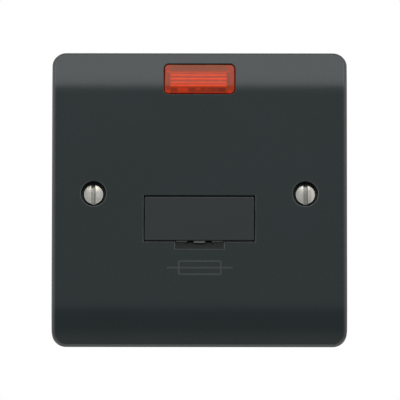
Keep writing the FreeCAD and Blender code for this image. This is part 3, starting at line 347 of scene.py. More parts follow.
@dataclass(frozen=True)
class Finish:
    """What every finish has: a name, and a way to be made as a material."""

    name: str

    def make(self) -> Material:
        """Makes the finish.

        Returns:
            Its material.
        """
        shading = Shading(self.name)
        self.shade(shading)
        return shading.material

    def shade(self, shading: Shading) -> None:
        """Lays the finish on a shader, in each kind's own way."""
        raise NotImplementedError


@dataclass(frozen=True)
class Moulding(Finish):
    """A moulded plastic: a fine spark-eroded grain over slow clouds, with a few flecks of dust.

    Grain, clouds, flecks and their spread are counts in a metre. Faces turned from the front and back by more
    than the span of flanks, in degrees, are rougher by matt.
    """

    colour: Colour
    roughness: float = 0.27
    roughness_swing: float = 0.04
    specular: float = 0.19
    grain: float = 6500.0
    grain_depth: float = 0.003 * MM
    clouds: float = 45.0
    clouding: float = 0.05
    dust: Colour = (0.05, 0.05, 0.05)
    flecks: float = 900.0
    fleck_edge: Span = (0.045, 0.07)
    fleck_share: float = 0.5
    spread: float = 140.0
    spread_edge: Span = (0.6, 0.68)
    # The edge colour, patches and ring lay painted highlights and painted shade over the plastic.
    edges: EdgeHighlight | None = None
    patches: tuple[Patch, ...] = ()
    ring: Ring | None = None
    matt: float = 0.0
    flanks: Span = (50.0, 78.0)

    def shade(self, shading: Shading) -> None:
        """Lays the plastic on a shader.

        Args:
            shading: The material's nodes.
        """
        cloud = shading.swing(shading.noise(self.clouds, 4.0), CORE, 1.0, self.clouding)
        grain = shading.noise(self.grain, 3.0)
        tone = shading.product(cloud, shading.swing(grain, CORE, 1.0, self.clouding))
        # Painted light: the patches, the ring and the edge colour are painted highlights and painted shade.
        colour = shading.patched(self.colour, self.patches)
        if self.ring:
            colour = shading.ringed(colour, self.ring)
        if self.edges:
            colour = shading.mix(shading.rounded(self.edges), colour, self.edges.colour)
        fleck = shading.ramp(shading.pits(self.flecks), *self.fleck_edge, self.fleck_share, 0.0)
        sparse = shading.product(fleck, shading.ramp(shading.noise(self.spread), *self.spread_edge))
        roughness = shading.swing(grain, WIDE, self.roughness, self.roughness_swing)
        if self.matt:
            roughness = shading.math("ADD", roughness, shading.product(shading.flank(self.flanks), self.matt))
        shading.surface(
            base_color=shading.mix(sparse, shading.toned(colour, tone), self.dust),
            roughness=roughness,
            specular_ior_level=self.specular,
            normal=shading.bump(grain, self.grain_depth),
        )


@dataclass(frozen=True)
class Metal(Finish):
    """A plated or plain metal with fine tool marks, dull patches and a few scratches.

    Marks and scratches are counts in a metre along each axis. Its painted highlights and painted shade multiply
    the colour of what lies in front of a Y in millimetres, their rear limit.
    """

    colour: Colour
    dull: Colour
    roughness: float = 0.2
    marks: Place = (700.0, 9000.0, 700.0)
    marks_depth: float = 0.0015 * MM
    # Painted highlights and painted shade, as shares of the colour, and the Y in millimetres that they stop at.
    painted_shading: tuple[Patch, ...] = ()
    painted_shading_rear: float = -5.6
    dulling: float = 380.0
    dull_edge: Span = (0.45, 0.75)
    scratches: Place = (5200.0, 320.0, 420.0)
    scratch_edge: Span = (0.66, 0.7)
    scratch_share: float = 0.35
    smoother: float = 0.04
    rougher: float = 0.12

    def shade(self, shading: Shading) -> None:
        """Lays the metal on a shader.

        Args:
            shading: The material's nodes.
        """
        patch = shading.noise(self.dulling, 4.0)
        line = shading.noise(1.0, 2.0, shading.stretched(self.marks))
        scratch = shading.ramp(shading.noise(1.0, 1.0, shading.stretched(self.scratches)), *self.scratch_edge)
        dulled = shading.mix(shading.ramp(patch, *self.dull_edge), self.colour, self.dull)
        colour = shading.mix(shading.product(scratch, self.scratch_share), dulled, self.dull)
        # Painted highlights and painted shade on what lies in front of the rear limit.
        if self.painted_shading:
            ahead = shading.math("LESS_THAN", shading.millimetres()[1], self.painted_shading_rear)
            painted_shading = shading.patched((1.0, 1.0, 1.0), self.painted_shading)
            colour = shading.mix(ahead, colour, painted_shading, "MULTIPLY")
        smoothest, roughest = self.roughness - self.smoother, self.roughness + self.rougher
        shading.surface(
            base_color=colour,
            metallic=1.0,
            roughness=shading.ramp(patch, 0.3, 0.75, smoothest, roughest),
            normal=shading.bump(line, self.marks_depth),
        )


@dataclass(frozen=True)
class LensRed(Finish):
    """Clear red plastic over a row of prisms, with painted light and shade in its colour.

    The prisms give painted highlights, and the dark room behind gives painted shade: the body turns into the
    crown, and lower down into the depth, the painted shade, over two spans of height. The depth also shows on
    both ends, past half_length from X = 0. All three are in millimetres.
    """

    name: str = "lens_red"
    body: Colour = (0.35, 0.0327, 0.0035)
    crown: Colour = (0.203, 0.0347, 0.006)
    depth: Colour = (0.29, 0.010, 0.001)
    crown_span: Span = (35.0, 36.0)
    depth_span: Span = (29.3, 29.05)
    half_length: float = 9.86
    relief: float = 0.03 * MM
    swirls: float = 650.0
    swirl_depth: float = 0.002 * MM
    # Painted highlights along the prisms, one band each.
    prisms: tuple[Patch, ...] = (
        Patch((-8.3, 7.7), (34.7, 35.05), (0.45, 0.038, 0.005), 0.16, 0.8),
        Patch((-8.3, 7.7), (34.08, 34.5), (0.66, 0.045, 0.005)),
        Patch((-8.3, 7.7), (32.92, 33.36), (0.72, 0.047, 0.005)),
        Patch((-8.3, 7.7), (31.66, 32.32), (0.56, 0.043, 0.005), 0.2),
        Patch((-8.3, 7.7), (30.9, 31.38), (0.70, 0.046, 0.008)),
    )
    # Painted reflections down both ends, painted shade from the lamp room low down with lighter spots, and
    # painted highlights at the upper and lower corners.
    patches: tuple[Patch, ...] = (
        Patch((-10.4, -8.4), (28.0, 38.0), (0.27, 0.026, 0.004), 0.15),
        Patch((7.8, 10.4), (28.0, 38.0), (0.265, 0.026, 0.004), 0.15),
        Patch((-8.3, 7.6), (29.3, 30.65), (0.197, 0.0165, 0.0015), 0.25),
        Patch((-6.3, -3.3), (29.3, 30.65), (0.40, 0.0250, 0.0025), 0.4),
        Patch((-1.3, 0.3), (29.9, 30.45), (0.40, 0.0240, 0.0020), 0.3),
        Patch((1.4, 2.6), (29.4, 30.4), (0.24, 0.0180, 0.0010), 0.4),
        Patch((5.4, 7.4), (29.4, 30.3), (0.155, 0.0120, 0.0005), 0.4),
        Patch((-9.4, -8.45), (35.15, 35.55), (0.52, 0.030, 0.004), 0.2),
        Patch((-9.25, -8.55), (33.95, 35.0), (0.19, 0.036, 0.008), 0.2),
        Patch((-9.25, -8.55), (32.3, 33.3), (0.19, 0.036, 0.008), 0.2),
        Patch((-9.25, -8.55), (30.9, 31.8), (0.20, 0.034, 0.006), 0.2),
        Patch((-9.25, -8.55), (29.7, 30.5), (0.20, 0.018, 0.002), 0.2),
        Patch((7.8, 8.5), (35.15, 35.55), (0.50, 0.030, 0.004), 0.2),
        Patch((7.85, 8.4), (30.0, 35.0), (0.18, 0.034, 0.008), 0.18),
        Patch((-10.2, -8.5), (28.5, 29.95), (0.40, 0.028, 0.004), 0.35),
        Patch((8.0, 9.2), (28.5, 29.75), (0.46, 0.022, 0.003), 0.3),
    )

    def shade(self, shading: Shading) -> None:
        """Lays the lens's plastic on a shader.

        Args:
            shading: The material's nodes.
        """
        across, _, up = shading.millimetres()
        # The crown, then the painted shade of the depth, then the painted highlights and reflections of the
        # prisms and patches.
        colour = shading.mix(shading.ramp(up, *self.crown_span), self.body, self.crown)
        colour = shading.mix(shading.ramp(up, *self.depth_span), colour, self.depth)
        colour = shading.patched(colour, self.prisms + self.patches)
        relief = shading.within(self.prisms[0], across, up)
        for prism in self.prisms[1:]:
            relief = shading.math("ADD", relief, shading.within(prism, across, up))
        end = shading.math("GREATER_THAN", shading.math("ABSOLUTE", across), self.half_length)
        colour = shading.mix(end, colour, self.depth)
        swirl = shading.noise(self.swirls, 3.0)
        shading.surface(
            base_color=shading.toned(colour, shading.swing(swirl, WIDE, 1.0, 0.07)),
            roughness=shading.swing(swirl, WIDE, 0.19, 0.03),
            specular_ior_level=0.04,
            coat_weight=0.12,
            coat_roughness=0.06,
            coat_ior=1.5,
            normal=shading.bump(relief, self.relief, shading.bump(swirl, self.swirl_depth)),
        )


@dataclass(frozen=True)
class Ceramic(Finish):
    """A cream fired ceramic, faintly speckled and slightly glazed."""

    name: str = "ceramic"
    colour: Colour = (0.72, 0.68, 0.57)
    speck: Colour = (0.50, 0.44, 0.33)
    specks: float = 2600.0
    stains: float = 260.0
    grain: float = 1800.0
    grain_depth: float = 0.006 * MM

    def shade(self, shading: Shading) -> None:
        """Lays the ceramic on a shader.

        Args:
            shading: The material's nodes.
        """
        speck = shading.ramp(shading.pits(self.specks), 0.08, 0.16, 0.7, 0.0)
        stain = shading.ramp(shading.noise(self.stains, 4.0), 0.35, 0.7, 0.0, 0.35)
        shading.surface(
            base_color=shading.mix(speck, shading.mix(stain, self.colour, self.speck), self.speck),
            roughness=0.3,
            specular_ior_level=0.5,
            coat_weight=0.3,
            coat_roughness=0.12,
            normal=shading.bump(shading.noise(self.grain, 3.0), self.grain_depth),
        )


@dataclass(frozen=True)
class BandedLacquer(Finish):
    """Tan resistor lacquer with four plain colour bands, each a place along X and a colour, in millimetres."""

    name: str = "banded_lacquer"
    colour: Colour = (0.45, 0.30, 0.15)
    blotch: Colour = (0.36, 0.22, 0.10)
    blotches: float = 900.0
    relief: float = 0.012 * MM
    half_band: float = 0.24
    band_edge: float = 0.04
    bands: tuple[tuple[float, Colour], ...] = (
        (-2.05, (0.10, 0.035, 0.012)),
        (-1.05, (0.55, 0.33, 0.02)),
        (-0.2, (0.50, 0.42, 0.01)),
        (1.5, (0.42, 0.28, 0.08)),
    )

    def shade(self, shading: Shading) -> None:
        """Lays the lacquer and its bands on a shader.

        Args:
            shading: The material's nodes.
        """
        across = shading.millimetres()[0]
        blotch = shading.noise(self.blotches, 3.0)
        colour = shading.mix(shading.ramp(blotch, *CORE, 0.0, 0.3), self.colour, self.blotch)
        for place, paint in self.bands:
            span = (place - self.half_band, place + self.half_band)
            colour = shading.mix(shading.band(across, span, self.band_edge), colour, paint)
        shading.surface(
            base_color=colour,
            roughness=shading.swing(blotch, CORE, 0.28, 0.06),
            specular_ior_level=0.5,
            normal=shading.bump(blotch, self.relief),
        )


@dataclass(frozen=True)
class LampGlass(Finish):
    """Thin clear glass, faintly smoked where the electrodes have sputtered on it."""

    name: str = "lamp_glass"
    colour: Colour = (0.96, 0.96, 0.95)
    smoke: Colour = (0.55, 0.52, 0.50)
    clouds: float = 420.0
    relief: float = 0.004 * MM

    def shade(self, shading: Shading) -> None:
        """Lays the glass on a shader.

        Args:
            shading: The material's nodes.
        """
        cloud = shading.noise(self.clouds, 3.0)
        shading.surface(
            base_color=shading.mix(shading.ramp(cloud, 0.5, 0.8, 0.0, 0.5), self.colour, self.smoke),
            roughness=shading.ramp(cloud, 0.3, 0.8, 0.02, 0.1),
            ior=1.47,
            transmission_weight=1.0,
            normal=shading.bump(cloud, self.relief),
        )


@dataclass(frozen=True)
class FloorWhite(Finish):
    """The pale floor: it takes shadows, and lift is the share of plain white that it shows to the camera."""

    name: str = "floor_white"
    colour: Colour = (0.82, 0.82, 0.82)
    mottle: float = 3.0
    mottling: float = 0.02
    lift: float = 0.8

    def shade(self, shading: Shading) -> None:
        """Lays the floor's paint on a shader and mixes the white in.

        Args:
            shading: The material's nodes.
        """
        mottle = shading.swing(shading.noise(self.mottle, 3.0), CORE, 1.0, self.mottling)
        shading.surface(
            base_color=shading.toned(self.colour, mottle),
            roughness=0.85,
            specular_ior_level=0.1,
        )
        glow = shading.add("ShaderNodeEmission").outputs[0]
        rays = shading.add("ShaderNodeLightPath").outputs
        seen = shading.math("MAXIMUM", rays["Is Camera Ray"], rays["Is Glossy Ray"])
        shading.blend(shading.product(seen, self.lift), shading.shader.outputs[0], glow, "Material Output")


@dataclass
class Finishes:
    """Every material of the unit, each made once and found by name."""

    made: dict[str, Material] = field(default_factory=dict)

    def build(self) -> None:
        """Makes the materials."""
        plating = {"roughness": 0.26, "marks": (700.0, 6000.0, 700.0), "marks_depth": 0.0006 * MM}
        finishes = (
            # The plate: painted highlights on its edges and recess rims, a painted paler lower end and painted
            # shade in the notch.
            Moulding(
                "anthracite", (0.0075, 0.0133, 0.0141), edges=EdgeHighlight((0.060, 0.065, 0.064)), patches=PLATE_PAINTED_LIGHT_AND_SHADE,
                ring=RECESS_RIM_HIGHLIGHT, matt=0.33,
            ),
            # The drawer: a painted highlight on the lower edge of its finger tab.
            Moulding("carrier_grey", (0.0130, 0.0176, 0.0177), roughness=0.34, patches=PULL_PAINTED_HIGHLIGHT),
            Moulding("sign_grey", (0.036, 0.041, 0.041), roughness=0.42),
            Moulding(
                "black_thermoset", (0.0085, 0.0090, 0.0095), roughness=0.34, specular=0.3, grain=3800.0,
                grain_depth=0.01 * MM,
            ),
            Moulding(
                "white_thermoset", (0.66, 0.66, 0.63), roughness=0.3, specular=0.45, grain=3200.0,
                grain_depth=0.005 * MM, clouding=0.018, dust=(0.4, 0.39, 0.36),
            ),
            Metal("nickel", (0.40, 0.394, 0.366), (0.345, 0.34, 0.315), **plating),
            # The fixing screws: painted highlights and painted shade on their heads and slots.
            Metal("screw_nickel", (0.316, 0.311, 0.289), (0.275, 0.270, 0.250), painted_shading=SCREW_PAINTED_LIGHT_AND_SHADE, **plating),
            Metal("brass", (0.72, 0.50, 0.20), (0.50, 0.33, 0.13), roughness=0.26),
            Metal("zinc", (0.58, 0.59, 0.58), (0.42, 0.42, 0.40), roughness=0.28),
            Metal(
                "tinned_copper", (0.66, 0.65, 0.61), (0.48, 0.46, 0.42), roughness=0.3,
                marks=(2500.0, 2500.0, 2500.0),
            ),
            LensRed(),
            Ceramic(),
            BandedLacquer(),
            LampGlass(),
            FloorWhite(),
        )
        for finish in finishes:
            self.made[finish.name] = finish.make()

    def dress(self, piece: Object, name: str) -> None:
        """Gives every slot of a piece one finish.

        Args:
            piece: A CAD node or a new piece.
            name: The finish's name.
        """
        if not piece.material_slots:
            piece.data.materials.append(self.made[name])
        for slot in piece.material_slots:
            slot.material = self.made[name]
        LOG.info("%s in %s", piece.name, name)

    def dress_nodes(self, name: str, *nodes: str) -> None:
        """Gives several CAD nodes one finish."""
        for node in nodes:
            self.dress(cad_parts[node], name)


class Bench:
    """The modelling steps that several pieces share."""

    @staticmethod
    def only(piece: Object) -> None:
        """Selects one object and nothing else.

        Args:
            piece: The object.
        """
        bpy.ops.object.select_all(action="DESELECT")
        piece.select_set(True)
        bpy.context.view_layer.objects.active = piece

    @staticmethod
    def settle(piece: Object) -> None:
        """Puts an object's place, turn and scale into its mesh."""
        Bench.only(piece)
        bpy.ops.object.transform_apply(location=True, rotation=True, scale=True)

    @staticmethod
    def edit() -> None:
        """Enters edit mode with everything selected."""
        bpy.ops.object.mode_set(mode="EDIT")
        bpy.ops.mesh.select_all(action="SELECT")

    @staticmethod
    def close(piece: Object) -> None:
        """Merges doubles, fills the open ends and turns all faces outwards.

        Args:
            piece: The object.
        """
        Bench.only(piece)
        Bench.edit()
        bpy.ops.mesh.remove_doubles(threshold=MERGE)
        bpy.ops.mesh.fill_holes(sides=0)
        bpy.ops.mesh.select_all(action="SELECT")
        bpy.ops.mesh.normals_make_consistent(inside=False)
        bpy.ops.object.mode_set(mode="OBJECT")

    @staticmethod
    def outline(name: str, points: list[Pair]) -> Object:
        """Draws an open chain of edges in the XZ plane, extruded point by point.

        Args:
            name: The object's name.
            points: Its points, as distance from the Z axis and height.

        Returns:
            The chain.
        """
        bpy.ops.object.select_all(action="DESELECT")
        bpy.ops.mesh.primitive_plane_add(size=MM)
        chain = bpy.context.object
        chain.name = name
        Bench.edit()
        bpy.ops.mesh.merge(type="CENTER")
        bpy.ops.transform.translate(value=(points[0][0], 0.0, points[0][1]))
        for last, following in zip(points, points[1:]):
            step = (following[0] - last[0], 0.0, following[1] - last[1])
            bpy.ops.mesh.extrude_region_move(TRANSFORM_OT_translate={"value": step})
        bpy.ops.object.mode_set(mode="OBJECT")
        return chain

    @staticmethod
    def turn(name: str, points: list[Pair], steps: int) -> Object:
        """Turns a solid about the Z axis.

        Args:
            name: The object's name.
            points: The profile, as distance from the axis and height.
            steps: How many steps go round.

        Returns:
            The turned solid.
        """
        solid = Bench.outline(name, points)
        Bench.edit()
        bpy.ops.mesh.spin(steps=steps, angle=math.tau, center=(0, 0, 0), axis=(0, 0, 1))
        bpy.ops.object.mode_set(mode="OBJECT")
        Bench.close(solid)
        return solid

    @staticmethod
    def subtract(piece: Object, cutter: Object) -> None:
        """Takes one object out of another and removes it.

        Args:
            piece: The object that is cut.
            cutter: The object that cuts it.
        """
        Bench.only(piece)
        cut = piece.modifiers.new("cut", "BOOLEAN")
        cut.operation = "DIFFERENCE"
        cut.solver = "EXACT"
        cut.object = cutter
        bpy.ops.object.modifier_apply(modifier="cut")
        bpy.data.objects.remove(cutter)

    @staticmethod
    def join(pieces: list[Object], name: str) -> Object:
        """Joins several objects into one.

        Args:
            pieces: The objects.
            name: The name of the one that is left.

        Returns:
            The joined object.
        """
        bpy.ops.object.select_all(action="DESELECT")
        for piece in pieces:
            piece.select_set(True)
        bpy.context.view_layer.objects.active = pieces[0]
        bpy.ops.object.join()
        pieces[0].name = name
        return pieces[0]

    @staticmethod
    def copy(piece: Object, name: str, move: Matrix) -> Object:
        """Copies an object with its mesh.

        Args:
            piece: The object.
            name: The copy's name.
            move: What moves the copy's mesh.

        Returns:
            The copy.
        """
        twin = piece.copy()
        twin.data = piece.data.copy()
        twin.name = name
        bpy.context.collection.objects.link(twin)
        twin.data.transform(move)
        return twin

    @staticmethod
    def smooth(piece: Object, degrees: float = 32.0) -> None:
        """Shades a piece smooth except across sharper edges."""
        Bench.only(piece)
        bpy.ops.object.shade_smooth_by_angle(angle=math.radians(degrees))

    @staticmethod
    def file(piece: Object, body: str, slot: str, *nodes: str) -> None:
        """Files a finished piece.

        Args:
            piece: The piece.
            body: The body that it rides on.
            slot: The slot that its finish belongs to; not used.
            nodes: The CAD nodes that it stands for.
        """
        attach(piece, body)
        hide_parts(*nodes)


@dataclass
class Screw:
    """A screw, built head up on the Z axis with the seat of its head at nought, all in millimetres.

    Head and neck are a radius and a height, the cut a width, a length and a depth, the thread its crest's radius
    and a depth, and the point a height and the share of the radius that is left at its tip. The neck ends in a
    shoulder, and edges sharper than the wear angle are worn round. The flank shares say where in a pitch the
    thread has risen, starts to fall and has fallen.
    """

    head: Pair
    crown: float
    rim: float
    drive: Drive
    cut: Place
    neck: Pair
    thread: Pair
    pitch: float
    length: float
    point: Pair
    steps: int = 64
    coil_steps: int = 28
    shoulder: float = 0.12
    wear: float = 0.05
    wear_angle: float = 50.0
    flank_shares: tuple[float, float, float] = (0.4, 0.55, 0.95)

    def build(self, name: str) -> Object:
        """Makes the screw.

        Args:
            name: The object's name.

        Returns:
            The screw, not yet in its place.
        """
        head = self.build_head(f"{name}_head")
        thread = self.build_thread(f"{name}_thread")
        screw = Bench.join([head, thread], name)
        Bench.smooth(screw)
        return screw

    def build_head(self, name: str) -> Object:
        """Turns the domed head and the neck, and cuts the drive.

        Args:
            name: The object's name.

        Returns:
            The head with its neck.
        """
        radius, height = self.head
        flat = radius - self.rim
        edge = height - self.crown
        dome = [(flat * share, height - self.crown * share**2) for share in (0.0, 0.2, 0.4, 0.6, 0.8, 1.0)]
        angles = [math.radians(angle) for angle in (15, 30, 45, 60, 75, 90)]
        rounding = [
            (flat + self.rim * math.sin(angle), edge - self.rim * (1 - math.cos(angle))) for angle in angles
        ]
        root = self.thread[0] - self.thread[1]
        shank = [(radius, self.rim * 0.5), (radius - self.rim * 0.5, 0.0), (self.neck[0], 0.0)]
        shank += [(self.neck[0], -self.neck[1]), (root, -self.neck[1] - self.shoulder)]
        profile = [(across * MM, up * MM) for across, up in dome + rounding + shank]
        head = Bench.turn(name, profile, self.steps)
        width, length, depth = self.cut
        for angle in self.drive.value:
            bpy.ops.object.select_all(action="DESELECT")
            bpy.ops.mesh.primitive_cube_add(
                size=1.0, location=(0.0, 0.0, height * MM), rotation=(0.0, 0.0, angle),
                scale=(width * MM, length * MM, depth * 2.0 * MM),
            )
            cutter = bpy.context.object
            Bench.settle(cutter)
            Bench.subtract(head, cutter)
        Bench.only(head)
        soften = head.modifiers.new("worn_edges", "BEVEL")
        soften.width = self.wear * MM
        soften.segments = 2
        soften.angle_limit = math.radians(self.wear_angle)
        bpy.ops.object.modifier_apply(modifier="worn_edges")
        return head

    def build_thread(self, name: str) -> Object:
        """Sweeps the thread round the axis below the neck, closes it and narrows its point.

        Args:
            name: The object's name.

        Returns:
            The thread.
        """
        run = self.length - self.neck[1]
        coils = round(run / self.pitch)
        rise = run / coils
        crest, depth = self.thread
        root = crest - depth
        risen, falling, fallen = (rise * share for share in self.flank_shares)
        flank = [(root, 0.0), (crest, risen), (crest, falling), (root, fallen), (root, rise)]
        thread = Bench.outline(name, [(across * MM, up * MM) for across, up in flank])
        sweep = thread.modifiers.new("coils", "SCREW")
        sweep.screw_offset = rise * MM
        sweep.iterations = coils - 1
        sweep.steps = self.coil_steps
        sweep.render_steps = self.coil_steps
        bpy.ops.object.modifier_apply(modifier="coils")
        Bench.close(thread)
        thread.location = (0.0, 0.0, -self.length * MM)
        Bench.settle(thread)
        taper, share = self.point
        for vertex in thread.data.vertices:
            above = vertex.co.z / MM + self.length
            if above < taper:
                left = share + (1.0 - share) * max(above, 0.0) / taper
                vertex.co.x *= left
                vertex.co.y *= left
        return thread

    @staticmethod
    def lay(pattern: Object, name: str, facing: Facing, seat: Vector, turned: float = 0.0) -> Object:
        """Copies a head-up screw to the seat of its head, turned about its own axis by some radians."""
        turn = Matrix.Rotation(facing.value, 4, "X") @ Matrix.Rotation(turned, 4, "Z")
        return Bench.copy(pattern, name, Matrix.Translation(seat) @ turn)


@dataclass
class FuseSign:
    """The plain sign for a fuse under the drawer: a box with a line through it, all in millimetres."""

    finishes: Finishes
    centre: Pair = (0.1, -21.3)
    box: Pair = (12.4, 4.2)
    line: float = 18.6
    stroke: float = 0.46
    rounding: float = 0.5
    rounding_steps: int = 5
    stands: float = 0.03
    sinks: float = 0.1

    def build(self) -> None:
        """Makes the box and the three runs of the line, and files them as one piece."""
        box = self.strip("sign_box", self.box, 0.0, hollow=True)
        inner = self.box[0] - self.stroke * 2
        outer = (self.line - self.box[0]) / 2
        middle = self.strip("sign_middle", (inner, self.stroke), 0.0)
        reach = (self.box[0] + outer) / 2
        ends = [self.strip(f"sign_end_{side}", (outer, self.stroke), reach * side) for side in (-1, 1)]
        sign = Bench.join([box, middle, *ends], "fuse_sign")
        Bench.smooth(sign)
        self.finishes.dress(sign, "sign_grey")
        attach(sign, "housing")

    def strip(self, name: str, size: Pair, shift: float, hollow: bool = False) -> Object:
        """Makes a bar, or a frame with rounded corners, that stands a little proud of the plate.

        Args:
            name: The object's name.
            size: Its width and height.
            shift: How far along X it lies from the sign's centre.
            hollow: Whether only its border is left.

        Returns:
            The bar or frame.
        """
        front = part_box("front_plate")[0].y
        bpy.ops.object.select_all(action="DESELECT")
        bpy.ops.mesh.primitive_plane_add(size=1.0, rotation=(math.pi / 2, 0.0, 0.0))
        strip = bpy.context.object
        strip.name = name
        strip.scale = (size[0] * MM, size[1] * MM, 1.0)
        strip.location = ((self.centre[0] + shift) * MM, front + self.sinks * MM, self.centre[1] * MM)
        Bench.settle(strip)
        Bench.edit()
        if hollow:
            bpy.ops.mesh.bevel(offset=self.rounding * MM, segments=self.rounding_steps, affect="VERTICES")
            bpy.ops.mesh.select_all(action="SELECT")
            bpy.ops.mesh.inset(thickness=self.stroke * MM)
            bpy.ops.mesh.delete(type="FACE")
            bpy.ops.mesh.select_all(action="SELECT")
        height = (self.sinks + self.stands) * MM
        bpy.ops.mesh.extrude_region_move(TRANSFORM_OT_translate={"value": (0.0, -height, 0.0)})
        bpy.ops.mesh.select_all(action="SELECT")
        bpy.ops.mesh.normals_make_consistent(inside=False)
        bpy.ops.object.mode_set(mode="OBJECT")
        return strip


@dataclass
class FrontPlate:
    """The moulded plate, its sign and the two slotted screws that fix it, each turned by its tilt in degrees."""

    finishes: Finishes
    tilts: Pair = (2.2, 0.4)
    screw: Screw = field(default_factory=lambda: Screw(
        head=(2.9, 2.3), crown=0.3, rim=0.22, drive=Drive.SLOT, cut=(1.15, 8.0, 1.0), neck=(1.5, 4.1),
        thread=(1.75, 0.3), pitch=0.6, length=25.0, point=(0.6, 0.72),
    ))

    def build(self) -> None:
        """Builds the sign and the screws."""
        FuseSign(self.finishes).build()
        low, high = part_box("fixing_screws")
        radius, height = self.screw.head
        level = (low.z + high.z) / 2
        pattern = self.screw.build("fixing_screw")
        places = {"left": low.x + radius * MM, "right": high.x - radius * MM}
        for (side, across), tilt in zip(places.items(), self.tilts):
            seat = Vector((across, low.y + height * MM, level))
            piece = Screw.lay(pattern, f"fixing_screw_{side}", Facing.FRONT, seat, math.radians(tilt))
            self.finishes.dress(piece, "screw_nickel")
            Bench.file(piece, "housing", "screw_steel", "fixing_screws")
        bpy.data.objects.remove(pattern)

    def dress(self) -> None:
        """Dresses the plate."""
        self.finishes.dress_nodes("anthracite", "front_plate")


@dataclass
class NeonWindow:
    """The red lens, the lamp behind it and the resistor and leads that feed the lamp."""

    finishes: Finishes

    def dress(self) -> None:
        """Dresses the lens, the lamp and its circuit."""
        self.finishes.dress_nodes("lens_red", "neon_lens")
        self.finishes.dress_nodes("lamp_glass", "neon_lamp")
        self.finishes.dress_nodes("nickel", "neon_electrodes")
        self.finishes.dress_nodes("banded_lacquer", "neon_resistor")
        self.finishes.dress_nodes("tinned_copper", "lamp_resistor_lead", "neutral_lead", "load_lead")


@dataclass
class FuseDrawer:
    """The carrier that slides out with the fuse, and the sprung contacts that the fuse meets."""

    finishes: Finishes

    def dress(self) -> None:
        """Dresses the carrier, the fuse and the contacts."""
        self.finishes.dress_nodes("carrier_grey", "fuse_carrier")
        self.finishes.dress_nodes("ceramic", "fuse_tube")
        self.finishes.dress_nodes("nickel", "fuse_cap_left", "fuse_cap_right")
        self.finishes.dress_nodes("brass", "supply_fuse_contact", "load_fuse_contact")


@dataclass
class RearMouldings:
    """The inner moulding and the rear base, held by four cross-head screws, each turned by its own angle."""

    finishes: Finishes
    turns: tuple[float, ...] = (0.5, 1.1, 0.2, 0.9)
    screw: Screw = field(default_factory=lambda: Screw(
        head=(2.7, 1.9), crown=0.6, rim=0.3, drive=Drive.CROSS, cut=(0.9, 3.2, 0.9), neck=(1.15, 0.9),
        thread=(1.2, 0.26), pitch=1.0, length=15.0, point=(1.4, 0.3), steps=40,
    ))

    def build(self) -> None:
        """Builds the four screws."""
        low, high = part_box("assembly_screws")
        radius, height = self.screw.head
        inset = radius * MM
        pattern = self.screw.build("assembly_screw")
        levels = {"upper": high.z - inset, "lower": low.z + inset}
        sides = {"left": low.x + inset, "right": high.x - inset}
        corners = [(f"{level}_{side}", sides[side], levels[level]) for level in levels for side in sides]
        for (corner, across, up), turned in zip(corners, self.turns):
            seat = Vector((across, high.y - height * MM, up))
            piece = Screw.lay(pattern, f"assembly_screw_{corner}", Facing.BACK, seat, turned)
            self.finishes.dress(piece, "zinc")
            Bench.file(piece, "housing", "screw_steel", "assembly_screws")
        bpy.data.objects.remove(pattern)

    def dress(self) -> None:
        """Dresses the two mouldings."""
        self.finishes.dress_nodes("black_thermoset", "fuse_chamber")
        self.finishes.dress_nodes("white_thermoset", "rear_base")


@dataclass
class Terminals:
    """Six tunnel terminals and their clamp screws, each turned by its own angle, and the bars that join them."""

    finishes: Finishes
    turns: tuple[float, ...] = (0.3, -0.5, 1.2, 0.9, -0.2, 0.6)
    screw: Screw = field(default_factory=lambda: Screw(
        head=(2.7, 1.6), crown=0.12, rim=0.3, drive=Drive.SLOT, cut=(0.9, 7.0, 0.9), neck=(1.5, 0.5),
        thread=(1.75, 0.28), pitch=0.7, length=6.0, point=(0.5, 0.74), steps=40,
    ))

    def build(self) -> None:
        """Builds the six clamp screws, each on the body that it moves with."""
        pattern = self.screw.build("clamp_screw")
        for name, turned in zip(TERMINAL_NAMES, self.turns):
            low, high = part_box(f"{name}_screw")
            middle = (low + high) / 2
            seat = Vector((middle.x, high.y - self.screw.head[1] * MM, middle.z))
            piece = Screw.lay(pattern, f"{name}_clamp_screw", Facing.BACK, seat, turned)
            self.finishes.dress(piece, "zinc")
            Bench.file(piece, f"{name}_clamp", "screw_steel", f"{name}_screw")
        bpy.data.objects.remove(pattern)

    def dress(self) -> None:
        """Dresses the terminal blocks and the bars."""
        blocks = [f"{name}_terminal" for name in TERMINAL_NAMES]
        self.finishes.dress_nodes("brass", *blocks, "neutral_bar", "earth_bar")


@dataclass(frozen=True)
class Panel:
    """A soft lamp that faces the unit: where it hangs, its width and height, and how bright it looks."""

    name: str
    place: Place
    size: Pair
    radiance: float

    def hang(self) -> None:
        """Adds the lamp."""
        bpy.ops.object.select_all(action="DESELECT")
        bpy.ops.object.light_add(type="AREA", location=self.place)
        lamp = bpy.context.object
        lamp.name = self.name
        lamp.data.shape = "RECTANGLE"
        lamp.data.size, lamp.data.size_y = self.size
        lamp.data.energy = self.radiance * self.size[0] * self.size[1] * math.pi
        lamp.rotation_euler = (-Vector(self.place)).to_track_quat("-Z", "Y").to_euler()
        lamp.visible_camera = False


